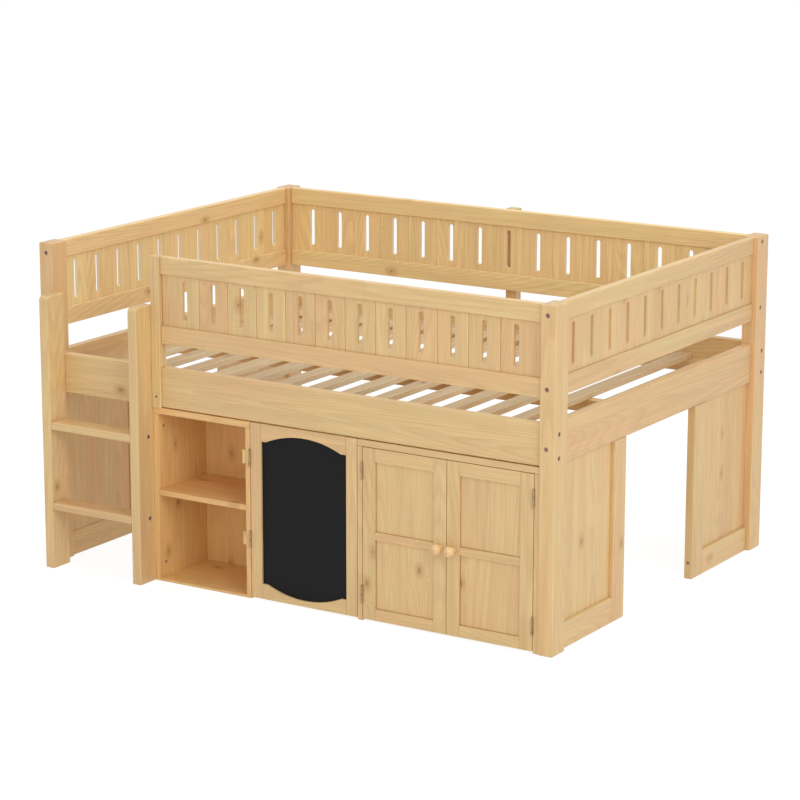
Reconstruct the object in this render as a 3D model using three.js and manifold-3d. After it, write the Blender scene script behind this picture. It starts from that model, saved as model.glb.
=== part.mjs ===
// Loft bed in pale pine with a slatted deck, slotted guards, ladder, open shelves,
// a blackboard door and a two-door wardrobe. Millimetres, +Z up, front towards -Y.
// The origin is on the floor, under the centre of the whole bed.
import * as THREE from 'three';
import { mergeVertices } from 'three/addons/utils/BufferGeometryUtils.js';
import Module from 'manifold-3d';

const wasm = await Module();
wasm.setup();

// Overall size and fits
const bedLength = 2000;
const bedWidth = 1480;
const seat = 0.3;
const overrun = 5;
const ease = 3;
const slatEase = 1.5;

// Corner posts
const postWidth = 55;
const postDepth = 80;
const postRise = 8;

// Bed rails
const railBottom = 602;
const railHeight = 135;
const railThickness = 32;
const railSetback = 12.5;
const endRailThickness = 28;
const endRailSetback = 16;

// Slats, and the cleats and the beam that carry them
const slatCount = 14;
const slatWidth = 50;
const slatThickness = 20;
const slatEndMargin = 85;
const cleatHeight = 30;
const cleatDepth = 22;
const cleatDrop = 83;
const beamThickness = 36;
const beamHeight = 44;
const beamOffset = 40;

// Guards: a grooved rail above and below, with slotted boards between them
const guardGap = 81;
const guardLowerRailHeight = 61;
const guardPanelHeight = 173;
const guardUpperRailHeight = 52;
const guardThickness = 27;
const frontGuardSetback = 11;
const grooveDepth = 8;
const guardBoardThickness = 12;
const boardVee = 3;
const frontSlotCount = 12;
const rearSlotCount = 15;
const endSlotCount = 11;
const frontSlotMargin = 94.4;
const rearSlotMargin = 91.7;
const endSlotMargin = 70;
const slotWidth = 18;
const slotMarginBelow = 21;
const slotMarginAbove = 15;

// Intermediate guard posts, notched to lap the bed rails
const guardPostDepth = 36;
const guardPostLap = 10;
const frontGuardPostRise = 8;
const rearGuardPostRise = 2;
const guardPostEase = 2;
const frontGuardPostLeft = 464;
const frontGuardPostWidth = 36;
const rearGuardPostWidth = 44;
const guardPostDrop = 4;

// Boarded end panels under the bed, either side of the crawl opening
const panelFrameThickness = 28;
const panelSectionWidth = 417;
const panelStileWidth = 80;
const panelSillHeight = 85;
const panelBoardThickness = 12;
const panelBoardRecess = 12;
const panelBoardCount = 4;

// Ladder
const stileThickness = 36;
const stileRise = 210;
const stileDepth = 88;
const stileCornerRadius = 16;
const treadThickness = 26;
const treadDepth = 76;
const lowerTreadBottom = 208;
const upperTreadBottom = 489;
const treadBoltSetback = 57;

// Storage units under the bed
const storageFront = 7;
const storageDrop = 5;
const panelThickness = 18;
const shelfDepth = 272;
const shelfPartitionRight = 857;
const shelfMiddleBottom = 299;
const shelfFloorThickness = 9;
const backThickness = 6;
const wardrobeLeft = 1277;
const wardrobeDepth = 470;
const wardrobeFloorBottom = 8;

// Inset doors
const doorThickness = 20;
const doorGap = 2;
const doorFloorGap = 6;
const doorStileWidth = 47;
const doorTopRailHeight = 45;
const doorMiddleRailHeight = 26;
const doorBottomRailHeight = 39;
const doorPanelThickness = 8;
const doorPanelRecess = 7;
const doorGrooveDepth = 8;
const doorEase = 1.5;
const knobRadius = 17.5;
const knobNeckRadius = 8;
const knobBaseRadius = 10;
const knobBaseHeight = 4;
const knobReach = 41;
const knobSpigotRadius = 4;
const knobSpigotLength = 14;
const knobSetback = 23;

// Blackboard door: arched rails over a rectangular board
const boardStileWidth = 42;
const boardRailHeight = 57;
const archRise = 32;
const archShoulder = 20;
const boardLip = 8;
const boardThickness = 6;
const boardRebate = 8;

// Butt hinges
const hingeHeight = 60;
const hingeKnuckleRadius = 3.5;
const hingePinRadius = 1.6;
const hingeBoreClearance = 0.3;
const hingeKnuckleGap = 0.4;
const hingeKnuckleCount = 5;
const hingeLeafThickness = 1.2;
const hingeLeafWidth = 18;
const hingeLeafSpacing = 0.8;
const wardrobeLowerHingeCentre = 90;
const wardrobeUpperHingeDrop = 79;
const boardLowerHingeCentre = 204;
const boardUpperHingeDrop = 117;

// Backing blocks on the shelf side of the partition
const blockThickness = 14;
const blockHeight = 47;
const blockDepth = 30;

// Bolt heads, sunk in counterbores
const boltHeadRadius = 7.5;
const boltHeadSink = 2;
const boltCounterbore = 6;
const boltClearance = 0.8;
const boltRailSpread = 76;
const boltEndRailDrop = 8;
const boltGuardRise = 14;

// Facets of round work; an arc of a drawn outline takes twice its steps
const archSteps = 8;
const slotEndSteps = 3;
const stileCornerSteps = 3;
const boltSegments = 10;
const hingeSegments = 8;
const knobSegments = 16;

// Finishes, one material for each piece
const finish = (color, roughness, metalness = 0) => () =>
  new THREE.MeshStandardMaterial({ color, roughness, metalness });
const pine = finish(0xdcbb88, 0.5);
const slatPine = finish(0xb9a48c, 0.7);
const chalkboard = finish(0x232225, 0.75);

// Named places that several pieces share
const railTop = railBottom + railHeight;
const guardBottom = railTop + guardGap;
const guardPanelBottom = guardBottom + guardLowerRailHeight;
const guardPanelTop = guardPanelBottom + guardPanelHeight;
const guardTop = guardPanelTop + guardUpperRailHeight;
const postHeight = guardTop + postRise;
const guardLowerRailCentre = guardBottom + guardLowerRailHeight / 2;
const guardUpperRailCentre = guardPanelTop + guardUpperRailHeight / 2;
const frontGuardPostRight = frontGuardPostLeft + frontGuardPostWidth;
const rearGuardSetback = guardPostDepth + seat;
const endRailInner = endRailSetback + endRailThickness;
const endRailCentre = endRailSetback + endRailThickness / 2;
const sideRailInner = railSetback + railThickness;
const sideRailCentre = railSetback + railThickness / 2;
const cleatTop = railTop - cleatDrop;
const ladderRight = frontGuardPostLeft - seat;
const ladderRightStileLeft = ladderRight - stileThickness;
const ladderLeft = postWidth + seat;
const ladderBack = railSetback - seat;
const ladderFront = ladderBack - stileDepth;
const stileHeight = railTop + stileRise;
const storageHeight = railBottom - storageDrop;
const storageTopBottom = storageHeight - panelThickness;
const shelfLeft = ladderRight + seat;
const partitionLeft = shelfPartitionRight - panelThickness;
const wardrobeRight = bedLength - postWidth - seat;
const hingeAxisY = storageFront - hingeKnuckleRadius - seat;
const wardrobeInnerWidth = wardrobeRight - wardrobeLeft - 2 * panelThickness;
const wardrobeDoorSpan = (wardrobeInnerWidth - 3 * doorGap) / 2;
const leftDoorLeft = wardrobeLeft + panelThickness + doorGap;
const rightDoorRight = wardrobeRight - panelThickness - doorGap;
const boardDoorLeft = shelfPartitionRight + doorGap;
const boardDoorRight = wardrobeLeft - doorGap;

// Solids and booleans

function solidOf(geometry) {
  const bare = geometry.clone();
  bare.deleteAttribute('normal');
  bare.deleteAttribute('uv');
  const merged = mergeVertices(bare);
  const mesh = new wasm.Mesh({
    numProp: 3,
    vertProperties: Float32Array.from(merged.attributes.position.array),
    triVerts: Uint32Array.from(merged.index.array),
  });
  return new wasm.Manifold(mesh);
}

function geometryOf(solid) {
  const mesh = solid.getMesh();
  const geometry = new THREE.BufferGeometry();
  geometry.setAttribute('position', new THREE.BufferAttribute(mesh.vertProperties, 3));
  geometry.setIndex(new THREE.BufferAttribute(mesh.triVerts, 1));
  const flat = geometry.toNonIndexed();
  flat.computeVertexNormals();
  return flat;
}

function cut(geometry, ...tools) {
  let solid = solidOf(geometry);
  for (const tool of tools) {
    solid = solid.subtract(solidOf(tool));
  }
  return geometryOf(solid);
}

function join(...geometries) {
  let solid = solidOf(geometries[0]);
  for (const geometry of geometries.slice(1)) {
    solid = solid.add(solidOf(geometry));
  }
  return geometryOf(solid);
}

// A section drawn across the run (x across, y up or back) is swept along one axis,
// starting at zero.
function sweep(shape, length, axis, segments = 1) {
  const geometry = new THREE.ExtrudeGeometry(shape, {
    depth: length,
    bevelEnabled: false,
    curveSegments: segments,
  });
  if (axis === 'x') {
    geometry.rotateX(Math.PI / 2).rotateZ(Math.PI / 2);
  } else if (axis === 'y') {
    geometry.rotateX(Math.PI / 2).translate(0, length, 0);
  }
  return geometry;
}

function easedSection(width, height, edge) {
  return new THREE.Shape([
    new THREE.Vector2(edge, 0),
    new THREE.Vector2(width - edge, 0),
    new THREE.Vector2(width, edge),
    new THREE.Vector2(width, height - edge),
    new THREE.Vector2(width - edge, height),
    new THREE.Vector2(edge, height),
    new THREE.Vector2(0, height - edge),
    new THREE.Vector2(0, edge),
  ]);
}

function plainSection(width, height) {
  return new THREE.Shape([
    new THREE.Vector2(0, 0),
    new THREE.Vector2(width, 0),
    new THREE.Vector2(width, height),
    new THREE.Vector2(0, height),
  ]);
}

// A section with eased corners and a groove down the middle of its top or bottom edge,
// groove measured from the left face.
function groovedSection(width, height, edge, grooveLeft, grooveWidth, depth, onTop) {
  const points = [
    [edge, 0],
    [width - edge, 0],
    [width, edge],
    [width, height - edge],
    [width - edge, height],
    [grooveLeft + grooveWidth, height],
    [grooveLeft + grooveWidth, height - depth],
    [grooveLeft, height - depth],
    [grooveLeft, height],
    [edge, height],
    [0, height - edge],
    [0, edge],
  ];
  const placed = points.map(([x, y]) => new THREE.Vector2(x, onTop ? y : height - y));
  return new THREE.Shape(onTop ? placed : placed.reverse());
}

// A straight bar between two corners, running along one axis, its long edges eased.
function bar(low, high, axis, edge = ease) {
  const size = high.map((value, index) => value - low[index]);
  const [width, height, length] = {
    x: [size[1], size[2], size[0]],
    y: [size[0], size[2], size[1]],
    z: [size[0], size[1], size[2]],
  }[axis];
  const section = edge > 0 ? easedSection(width, height, edge) : plainSection(width, height);
  return sweep(section, length, axis).translate(...low);
}

function block(low, high) {
  return bar(low, high, 'z', 0);
}

// A post with eased long edges and a chamfer round its top and foot.
function postBar(low, high, edge) {
  const [width, depth, height] = high.map((value, index) => value - low[index]);
  const geometry = new THREE.ExtrudeGeometry(easedSection(width, depth, edge), {
    depth: height - 2 * edge,
    bevelThickness: edge,
    bevelSize: edge,
    bevelOffset: -edge,
    bevelSegments: 1,
    curveSegments: 1,
  });
  return geometry.translate(low[0], low[1], low[2] + edge);
}

// A rod or hole along +X, -X, +Y, -Y or +Z from a start point.
function rod(start, direction, radius, length, segments) {
  const geometry = new THREE.CylinderGeometry(radius, radius, length, segments);
  geometry.translate(0, length / 2, 0);
  return aim(geometry, direction).translate(...start);
}

// Turns what was made along +Y to another direction.
function aim(geometry, direction) {
  const turn = new THREE.Quaternion().setFromUnitVectors(
    new THREE.Vector3(0, 1, 0),
    new THREE.Vector3(...direction),
  );
  return geometry.applyQuaternion(turn);
}

function turned(profile, segments) {
  return new THREE.LatheGeometry(profile.map(([r, z]) => new THREE.Vector2(r, z)), segments);
}

function part(name, material, geometry) {
  const mesh = new THREE.Mesh(geometry, material());
  mesh.name = name;
  return mesh;
}

// Bolts: each has a place on the face it enters and the way it is driven

function boltEntry(bolt, radius, start, depth) {
  const point = bolt.at.map((value, index) => value + bolt.direction[index] * start);
  return rod(point, bolt.direction, radius, depth, boltSegments);
}

// Sinks a counterbore for each bolt and leaves the bolt's head standing in it.
function bolted(geometry, bolts) {
  const bores = bolts.map((bolt) => boltEntry(
    bolt, boltHeadRadius + boltClearance, -overrun, overrun + boltCounterbore));
  const heads = bolts.map((bolt) => boltEntry(
    bolt, boltHeadRadius, boltHeadSink, boltCounterbore + overrun));
  return join(cut(geometry, ...bores), ...heads);
}

// Corner posts, with the bolts that each one holds

const corners = [
  { name: 'front_left', right: false, rear: false },
  { name: 'front_right', right: true, rear: false },
  { name: 'rear_left', right: false, rear: true },
  { name: 'rear_right', right: true, rear: true },
];

function mirrorX(x, right) {
  return right ? bedLength - x : x;
}

function mirrorY(y, rear) {
  return rear ? bedWidth - y : y;
}

// Bolts driven through the outer face into the end rails and the end guards.
function faceBolts(corner) {
  const x = mirrorX(endRailCentre, corner.right);
  const y = mirrorY(0, corner.rear);
  const direction = [0, corner.rear ? -1 : 1, 0];
  const heights = [
    railBottom + railHeight / 2 - boltEndRailDrop,
    guardLowerRailCentre,
    guardUpperRailCentre,
  ];
  return heights.map((z) => ({ at: [x, y, z], direction }));
}

// Bolts driven through the side face into the side rails and, at the rear, the guard.
function sideBolts(corner) {
  const x = mirrorX(0, corner.right);
  const railY = mirrorY(sideRailCentre, corner.rear);
  const guardY = bedWidth - rearGuardSetback - guardThickness / 2;
  const direction = [corner.right ? -1 : 1, 0, 0];
  const railBolts = [-boltRailSpread / 2, boltRailSpread / 2].map((offset) => ({
    at: [x, railY, railBottom + railHeight / 2 + offset],
    direction,
  }));
  const guardBolts = [guardLowerRailCentre, guardUpperRailCentre].map((centre) => ({
    at: [x, guardY, centre + boltGuardRise],
    direction,
  }));
  return corner.rear ? [...railBolts, ...guardBolts] : railBolts;
}

function cornerPost(corner) {
  const left = corner.right ? bedLength - postWidth : 0;
  const front = corner.rear ? bedWidth - postDepth : 0;
  const blank = postBar([left, front, 0], [left + postWidth, front + postDepth, postHeight], ease);
  return part(`${corner.name}_post`, pine, bolted(blank, [...faceBolts(corner), ...sideBolts(corner)]));
}

// Bed rails and the slatted deck

function sideRail(rear) {
  const front = rear ? bedWidth - sideRailInner : railSetback;
  const low = [postWidth + seat, front, railBottom];
  const high = [bedLength - postWidth - seat, front + railThickness, railTop];
  return part(rear ? 'rear_rail' : 'front_rail', pine, bar(low, high, 'x'));
}

function endRail(right) {
  const left = right ? bedLength - endRailInner : endRailSetback;
  const low = [left, postDepth + seat, railBottom];
  const high = [left + endRailThickness, bedWidth - postDepth - seat, railTop];
  return part(right ? 'right_end_rail' : 'left_end_rail', pine, bar(low, high, 'y'));
}

// Beam under the slats, a little to the front of the middle, from end rail to end rail.
function centreBeam() {
  const front = (bedWidth - beamThickness) / 2 - beamOffset;
  const top = cleatTop - seat;
  const low = [endRailInner + seat, front, top - beamHeight];
  const high = [bedLength - endRailInner - seat, front + beamThickness, top];
  return part('centre_beam', pine, bar(low, high, 'x'));
}

// Slats screwed down to the two cleats that lie against the side rails.
function slatDeck() {
  const left = postWidth + seat;
  const right = bedLength - left;
  const firstSlatLeft = endRailInner + slatEndMargin;
  const slatPitch = (bedLength - 2 * firstSlatLeft - slatWidth) / (slatCount - 1);
  const front = sideRailInner + seat;
  const rear = bedWidth - front;
  const cleats = [front, rear - cleatDepth].map((y) => bar(
    [left, y, cleatTop - cleatHeight], [right, y + cleatDepth, cleatTop + slatEase], 'x', slatEase));
  const bars = [];
  for (let index = 0; index < slatCount; index += 1) {
    const slatLeft = firstSlatLeft + index * slatPitch;
    bars.push(bar(
      [slatLeft, front, cleatTop], [slatLeft + slatWidth, rear, cleatTop + slatThickness], 'y', slatEase));
  }
  return part('slat_deck', slatPine, join(...cleats, ...bars));
}

// Guards. Each is made along X from zero and then set in its place.

// Boards side by side, their front edges cut back to V joints midway between the slots.
function boardedSection(length, joints, thickness) {
  const points = [new THREE.Vector2(length, thickness), new THREE.Vector2(0, thickness)];
  points.push(new THREE.Vector2(0, 0));
  for (const joint of joints) {
    points.push(new THREE.Vector2(joint - boardVee, 0));
    points.push(new THREE.Vector2(joint, boardVee));
    points.push(new THREE.Vector2(joint + boardVee, 0));
  }
  points.push(new THREE.Vector2(length, 0));
  return new THREE.Shape(points);
}

// A round-ended slot as a solid that runs past both faces of the boards.
function slotTool(centre) {
  const radius = slotWidth / 2;
  const low = guardPanelBottom + slotMarginBelow + radius;
  const high = guardPanelTop - slotMarginAbove - radius;
  const shape = new THREE.Shape();
  shape.absarc(centre, high, radius, 0, Math.PI, false);
  shape.absarc(centre, low, radius, Math.PI, 2 * Math.PI, false);
  const depth = guardBoardThickness + 2 * overrun;
  return sweep(shape, depth, 'y', slotEndSteps).translate(0, -overrun, 0);
}

function guardBoards(length, count, margin) {
  const pitch = (length - 2 * margin) / (count - 1);
  const centres = Array.from({ length: count }, (_, index) => margin + index * pitch);
  const joints = centres.slice(1).map((centre) => centre - pitch / 2 - seat);
  const bottom = guardPanelBottom - grooveDepth + seat;
  const height = guardPanelHeight + 2 * (grooveDepth - seat);
  const blank = sweep(boardedSection(length - 2 * seat, joints, guardBoardThickness), height, 'z');
  const boards = cut(blank.translate(seat, 0, bottom), ...centres.map(slotTool));
  return boards.translate(0, (guardThickness - guardBoardThickness) / 2, 0);
}

function guardRail(length, bottom, height, grooveOnTop) {
  const grooveWidth = guardBoardThickness + 2 * seat;
  const grooveLeft = (guardThickness - grooveWidth) / 2;
  const section = groovedSection(
    guardThickness, height, ease, grooveLeft, grooveWidth, grooveDepth, grooveOnTop);
  return sweep(section, length - 2 * seat, 'x').translate(seat, 0, bottom);
}

// length is the clear span between posts; place sets a piece made along X into the bed.
function guard(side, length, count, margin, place) {
  return [
    part(`${side}_guard_lower_rail`, pine,
      place(guardRail(length, guardBottom, guardLowerRailHeight, true))),
    part(`${side}_guard_upper_rail`, pine,
      place(guardRail(length, guardPanelTop, guardUpperRailHeight, false))),
    part(`${side}_guard_boards`, pine, place(guardBoards(length, count, margin))),
  ];
}

function guards() {
  const frontLength = bedLength - postWidth - frontGuardPostRight;
  const rearLength = bedLength - 2 * postWidth;
  const endLength = bedWidth - 2 * postDepth;
  const rearFace = bedWidth - rearGuardSetback;
  return [
    ...guard('front', frontLength, frontSlotCount, frontSlotMargin,
      (piece) => piece.translate(frontGuardPostRight, frontGuardSetback, 0)),
    ...guard('rear', rearLength, rearSlotCount, rearSlotMargin,
      (piece) => piece.rotateZ(Math.PI).translate(bedLength - postWidth, rearFace, 0)),
    ...guard('left', endLength, endSlotCount, endSlotMargin,
      (piece) => piece.rotateZ(-Math.PI / 2).translate(endRailSetback, bedWidth - postDepth, 0)),
    ...guard('right', endLength, endSlotCount, endSlotMargin,
      (piece) => piece.rotateZ(Math.PI / 2).translate(bedLength - endRailSetback, postDepth, 0)),
  ];
}

// Guard posts: full depth above the rail, and a tongue that laps the rail's outer face.

function guardPost(name, left, width, rear) {
  const bottom = railBottom - guardPostDrop;
  const top = guardTop + (rear ? rearGuardPostRise : frontGuardPostRise);
  const front = rear ? bedWidth - guardPostDepth : railSetback - seat - guardPostLap;
  const back = front + guardPostDepth;
  const blank = postBar([left, front, bottom], [left + width, back, top], guardPostEase);
  const notchFront = rear ? front - overrun : railSetback - seat;
  const notchBack = rear ? bedWidth - railSetback + seat : back + overrun;
  const notch = block(
    [left - overrun, notchFront, bottom - overrun],
    [left + width + overrun, notchBack, railTop + seat],
  );
  return part(name, pine, cut(blank, notch));
}

// Boarded panels under the bed ends, one each side of the crawl opening. Each is made for
// the left end, front section, along X with its outer face at zero, and then set in place.

function endPanel(name, place) {
  const width = panelSectionWidth;
  const top = railBottom - seat;
  const stileStart = width - panelStileWidth;
  const outline = new THREE.Shape([
    new THREE.Vector2(seat, 0),
    new THREE.Vector2(width, 0),
    new THREE.Vector2(width, top),
    new THREE.Vector2(stileStart, top),
    new THREE.Vector2(stileStart, panelSillHeight),
    new THREE.Vector2(seat, panelSillHeight),
  ]);
  const blank = slab(outline, panelFrameThickness, slatEase);
  const grooveFront = panelBoardRecess - seat;
  const groove = block(
    [-overrun, grooveFront, panelSillHeight - grooveDepth],
    [stileStart + grooveDepth, grooveFront + panelBoardThickness + 2 * seat, top + overrun],
  );
  const boardsWidth = stileStart + grooveDepth - 2 * seat;
  const joints = [];
  for (let index = 1; index < panelBoardCount; index += 1) {
    joints.push((index * boardsWidth) / panelBoardCount);
  }
  const boardsBottom = panelSillHeight - grooveDepth + seat;
  const boards = sweep(boardedSection(boardsWidth, joints, panelBoardThickness), top - boardsBottom, 'z');
  return [
    part(`${name}_frame`, pine, place(cut(blank, groove))),
    part(`${name}_boards`, pine, place(boards.translate(seat, panelBoardRecess, boardsBottom))),
  ];
}

// A flat plate with the given outline (x across, y up), its front face at y = 0, its edges eased.
function slab(outline, thickness, edge, segments = 1) {
  const geometry = new THREE.ExtrudeGeometry(outline, {
    depth: thickness - 2 * edge,
    bevelThickness: edge,
    bevelSize: edge,
    bevelOffset: -edge,
    bevelSegments: 1,
    curveSegments: segments,
  });
  return geometry.rotateX(Math.PI / 2).translate(0, thickness - edge, 0);
}

function endPanels() {
  const outer = endRailSetback;
  const quarter = Math.PI / 2;
  return [
    ...endPanel('right_front_panel',
      (piece) => piece.rotateZ(quarter).translate(bedLength - outer, postDepth, 0)),
    ...endPanel('left_rear_panel',
      (piece) => piece.rotateZ(-quarter).translate(outer, bedWidth - postDepth, 0)),
    ...endPanel('right_rear_panel', (piece) => flipX(piece).rotateZ(quarter)
      .translate(bedLength - outer, bedWidth - postDepth, 0)),
    ...endPanel('left_front_panel', (piece) => flipX(piece).rotateZ(-quarter)
      .translate(outer, postDepth, 0)),
  ];
}

// The same piece of the other hand.
function flipX(geometry) {
  const flipped = geometry.index ? geometry.toNonIndexed() : geometry;
  const position = flipped.attributes.position;
  for (let index = 0; index < position.count; index += 3) {
    const corner = [0, 1, 2].map((step) => new THREE.Vector3().fromBufferAttribute(position, index + step));
    [corner[0], corner[2], corner[1]].forEach((point, step) => {
      position.setXYZ(index + step, -point.x, point.y, point.z);
    });
  }
  flipped.computeVertexNormals();
  return flipped;
}

// Ladder

// Bolts driven through a stile's outer face into the ends of the treads.
function stileBolts(x, sense) {
  return [lowerTreadBottom, upperTreadBottom].map((bottom) => ({
    at: [x, ladderFront + treadBoltSetback, bottom + treadThickness / 2],
    direction: [sense, 0, 0],
  }));
}

// A ladder stile, its front top corner rounded.
function ladderStile(name, left, bolts) {
  const shape = new THREE.Shape();
  shape.moveTo(0, 0);
  shape.lineTo(stileDepth, 0);
  shape.lineTo(stileDepth, stileHeight);
  shape.lineTo(stileCornerRadius, stileHeight);
  shape.absarc(stileCornerRadius, stileHeight - stileCornerRadius, stileCornerRadius,
    Math.PI / 2, Math.PI, false);
  const blank = slab(shape, stileThickness, ease, stileCornerSteps);
  blank.rotateZ(Math.PI / 2).translate(left + stileThickness, ladderFront, 0);
  return part(name, pine, bolted(blank, bolts));
}

function ladderTread(name, bottom) {
  const low = [ladderLeft + stileThickness + seat, ladderFront, bottom];
  const high = [ladderRightStileLeft - seat, ladderFront + treadDepth, bottom + treadThickness];
  return part(name, pine, bar(low, high, 'x'));
}

// Open shelf unit beside the ladder; its right side is the partition of the blackboard door.

function carcassSide(left, back) {
  const high = [left + panelThickness, back, storageTopBottom - seat];
  return bar([left, storageFront, 0], high, 'z', slatEase);
}

function shelfUnit() {
  const back = storageFront + shelfDepth;
  const innerLeft = shelfLeft + panelThickness + seat;
  const innerRight = partitionLeft - seat;
  const backFront = back - backThickness;
  const shelf = (bottom, top) => bar(
    [innerLeft, storageFront, bottom], [innerRight, backFront - seat, top], 'x', slatEase);
  const top = bar(
    [shelfLeft, storageFront, storageTopBottom], [shelfPartitionRight, back, storageHeight], 'x', slatEase);
  const partition = join(carcassSide(partitionLeft, back), ...fixedLeaves('board_door'), ...hingeBlocks());
  return [
    part('shelf_left_side', pine, carcassSide(shelfLeft, back)),
    part('shelf_partition', pine, partition),
    part('shelf_top', pine, top),
    part('shelf_middle', pine, shelf(shelfMiddleBottom, shelfMiddleBottom + panelThickness)),
    part('shelf_floor', pine, shelf(0, shelfFloorThickness)),
    part('shelf_back', pine, block(
      [innerLeft, backFront, 0], [innerRight, back, storageTopBottom - seat])),
  ];
}

// Blocks glued behind the partition to take the screws of the blackboard door's hinges.
function hingeBlocks() {
  const front = storageFront + ease;
  return hingesOf('board_door').map((hinge) => bar(
    [partitionLeft - blockThickness, front, hinge.centre - blockHeight / 2],
    [partitionLeft + slatEase, front + blockDepth, hinge.centre + blockHeight / 2],
    'z',
    slatEase,
  ));
}

// Wardrobe

function wardrobe() {
  const back = storageFront + wardrobeDepth;
  const backFront = back - backThickness;
  const innerLeft = wardrobeLeft + panelThickness + seat;
  const innerRight = wardrobeRight - panelThickness - seat;
  const floorFront = storageFront + doorThickness + doorGap;
  const floorTop = wardrobeFloorBottom + panelThickness;
  const floor = bar(
    [innerLeft, floorFront, wardrobeFloorBottom], [innerRight, backFront - seat, floorTop], 'x', slatEase);
  const top = bar(
    [wardrobeLeft, storageFront, storageTopBottom], [wardrobeRight, back, storageHeight], 'x', slatEase);
  return [
    part('wardrobe_left_side', pine,
      join(carcassSide(wardrobeLeft, back), ...fixedLeaves('left_door'))),
    part('wardrobe_right_side', pine,
      join(carcassSide(wardrobeRight - panelThickness, back), ...fixedLeaves('right_door'))),
    part('wardrobe_top', pine, top),
    part('wardrobe_floor', pine, floor),
    part('wardrobe_back', pine, block(
      [innerLeft, backFront, 0], [innerRight, back, storageTopBottom - seat])),
  ];
}

// Butt hinges. The leaf on the carcass carries the pin and the outer knuckles, and the leaf
// on the door the knuckles between them. Each is let half its thickness into the wood.

// Every hinge: its door, the middle of the gap that holds its pin, and the side the door is on.
function hingesOf(door) {
  const wardrobeCentres = [wardrobeLowerHingeCentre, storageTopBottom - wardrobeUpperHingeDrop];
  const boardCentres = [boardLowerHingeCentre, storageHeight - boardUpperHingeDrop];
  const { axisX, towards, centres } = {
    left_door: { axisX: leftDoorLeft - doorGap / 2, towards: 1, centres: wardrobeCentres },
    right_door: { axisX: rightDoorRight + doorGap / 2, towards: -1, centres: wardrobeCentres },
    board_door: { axisX: boardDoorLeft - doorGap / 2, towards: 1, centres: boardCentres },
  }[door];
  return centres.map((centre) => ({ axisX, towards, centre }));
}

function knuckleSpan(index) {
  const pitch = hingeHeight / hingeKnuckleCount;
  return [index * pitch + hingeKnuckleGap / 2, (index + 1) * pitch - hingeKnuckleGap / 2];
}

function leafPlate(hinge, onDoor) {
  const sense = onDoor ? hinge.towards : -hinge.towards;
  const inner = sense * (hingeLeafSpacing / 2);
  const outer = sense * (hingeLeafSpacing / 2 + hingeLeafThickness);
  const left = Math.min(inner, outer);
  const right = Math.max(inner, outer);
  const start = hingeKnuckleRadius + seat;
  const plate = block([left, start, 0], [right, start + hingeLeafWidth, hingeHeight]);
  const tabs = [];
  for (let index = onDoor ? 1 : 0; index < hingeKnuckleCount; index += 2) {
    const [low, high] = knuckleSpan(index);
    const tabFront = hingePinRadius + hingeBoreClearance + hingeLeafThickness / 2;
    tabs.push(block([left, tabFront, low], [right, start + seat, high]));
  }
  return join(plate, ...tabs);
}

function placeHinge(geometry, hinge) {
  return geometry.translate(hinge.axisX, hingeAxisY, hinge.centre - hingeHeight / 2);
}

// The pin runs the hinge's whole height; the carcass knuckles stand out from it.
function fixedLeaf(hinge) {
  const last = hingeKnuckleCount - 1;
  const profile = [[0, 0]];
  for (let index = 0; index <= last; index += 2) {
    const [low, high] = knuckleSpan(index);
    const bottom = index === 0 ? 0 : low;
    const top = index === last ? hingeHeight : high;
    if (index > 0) {
      profile.push([hingePinRadius, bottom]);
    }
    profile.push([hingeKnuckleRadius, bottom], [hingeKnuckleRadius, top]);
    if (index < last) {
      profile.push([hingePinRadius, top]);
    }
  }
  profile.push([0, hingeHeight]);
  const barrel = turned(profile, hingeSegments).rotateX(Math.PI / 2);
  return placeHinge(join(barrel, leafPlate(hinge, false)), hinge);
}

function movingLeaf(hinge) {
  const bore = hingePinRadius + hingeBoreClearance;
  const rings = [];
  for (let index = 1; index < hingeKnuckleCount; index += 2) {
    const [low, high] = knuckleSpan(index);
    const profile = [
      [bore, low],
      [hingeKnuckleRadius, low],
      [hingeKnuckleRadius, high],
      [bore, high],
      [bore, low],
    ];
    rings.push(turned(profile, hingeSegments).rotateX(Math.PI / 2));
  }
  return placeHinge(join(leafPlate(hinge, true), ...rings), hinge);
}

function fixedLeaves(door) {
  return hingesOf(door).map(fixedLeaf);
}

function movingLeaves(door) {
  return hingesOf(door).map(movingLeaf);
}

// Doors, inset between the carcass sides

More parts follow.
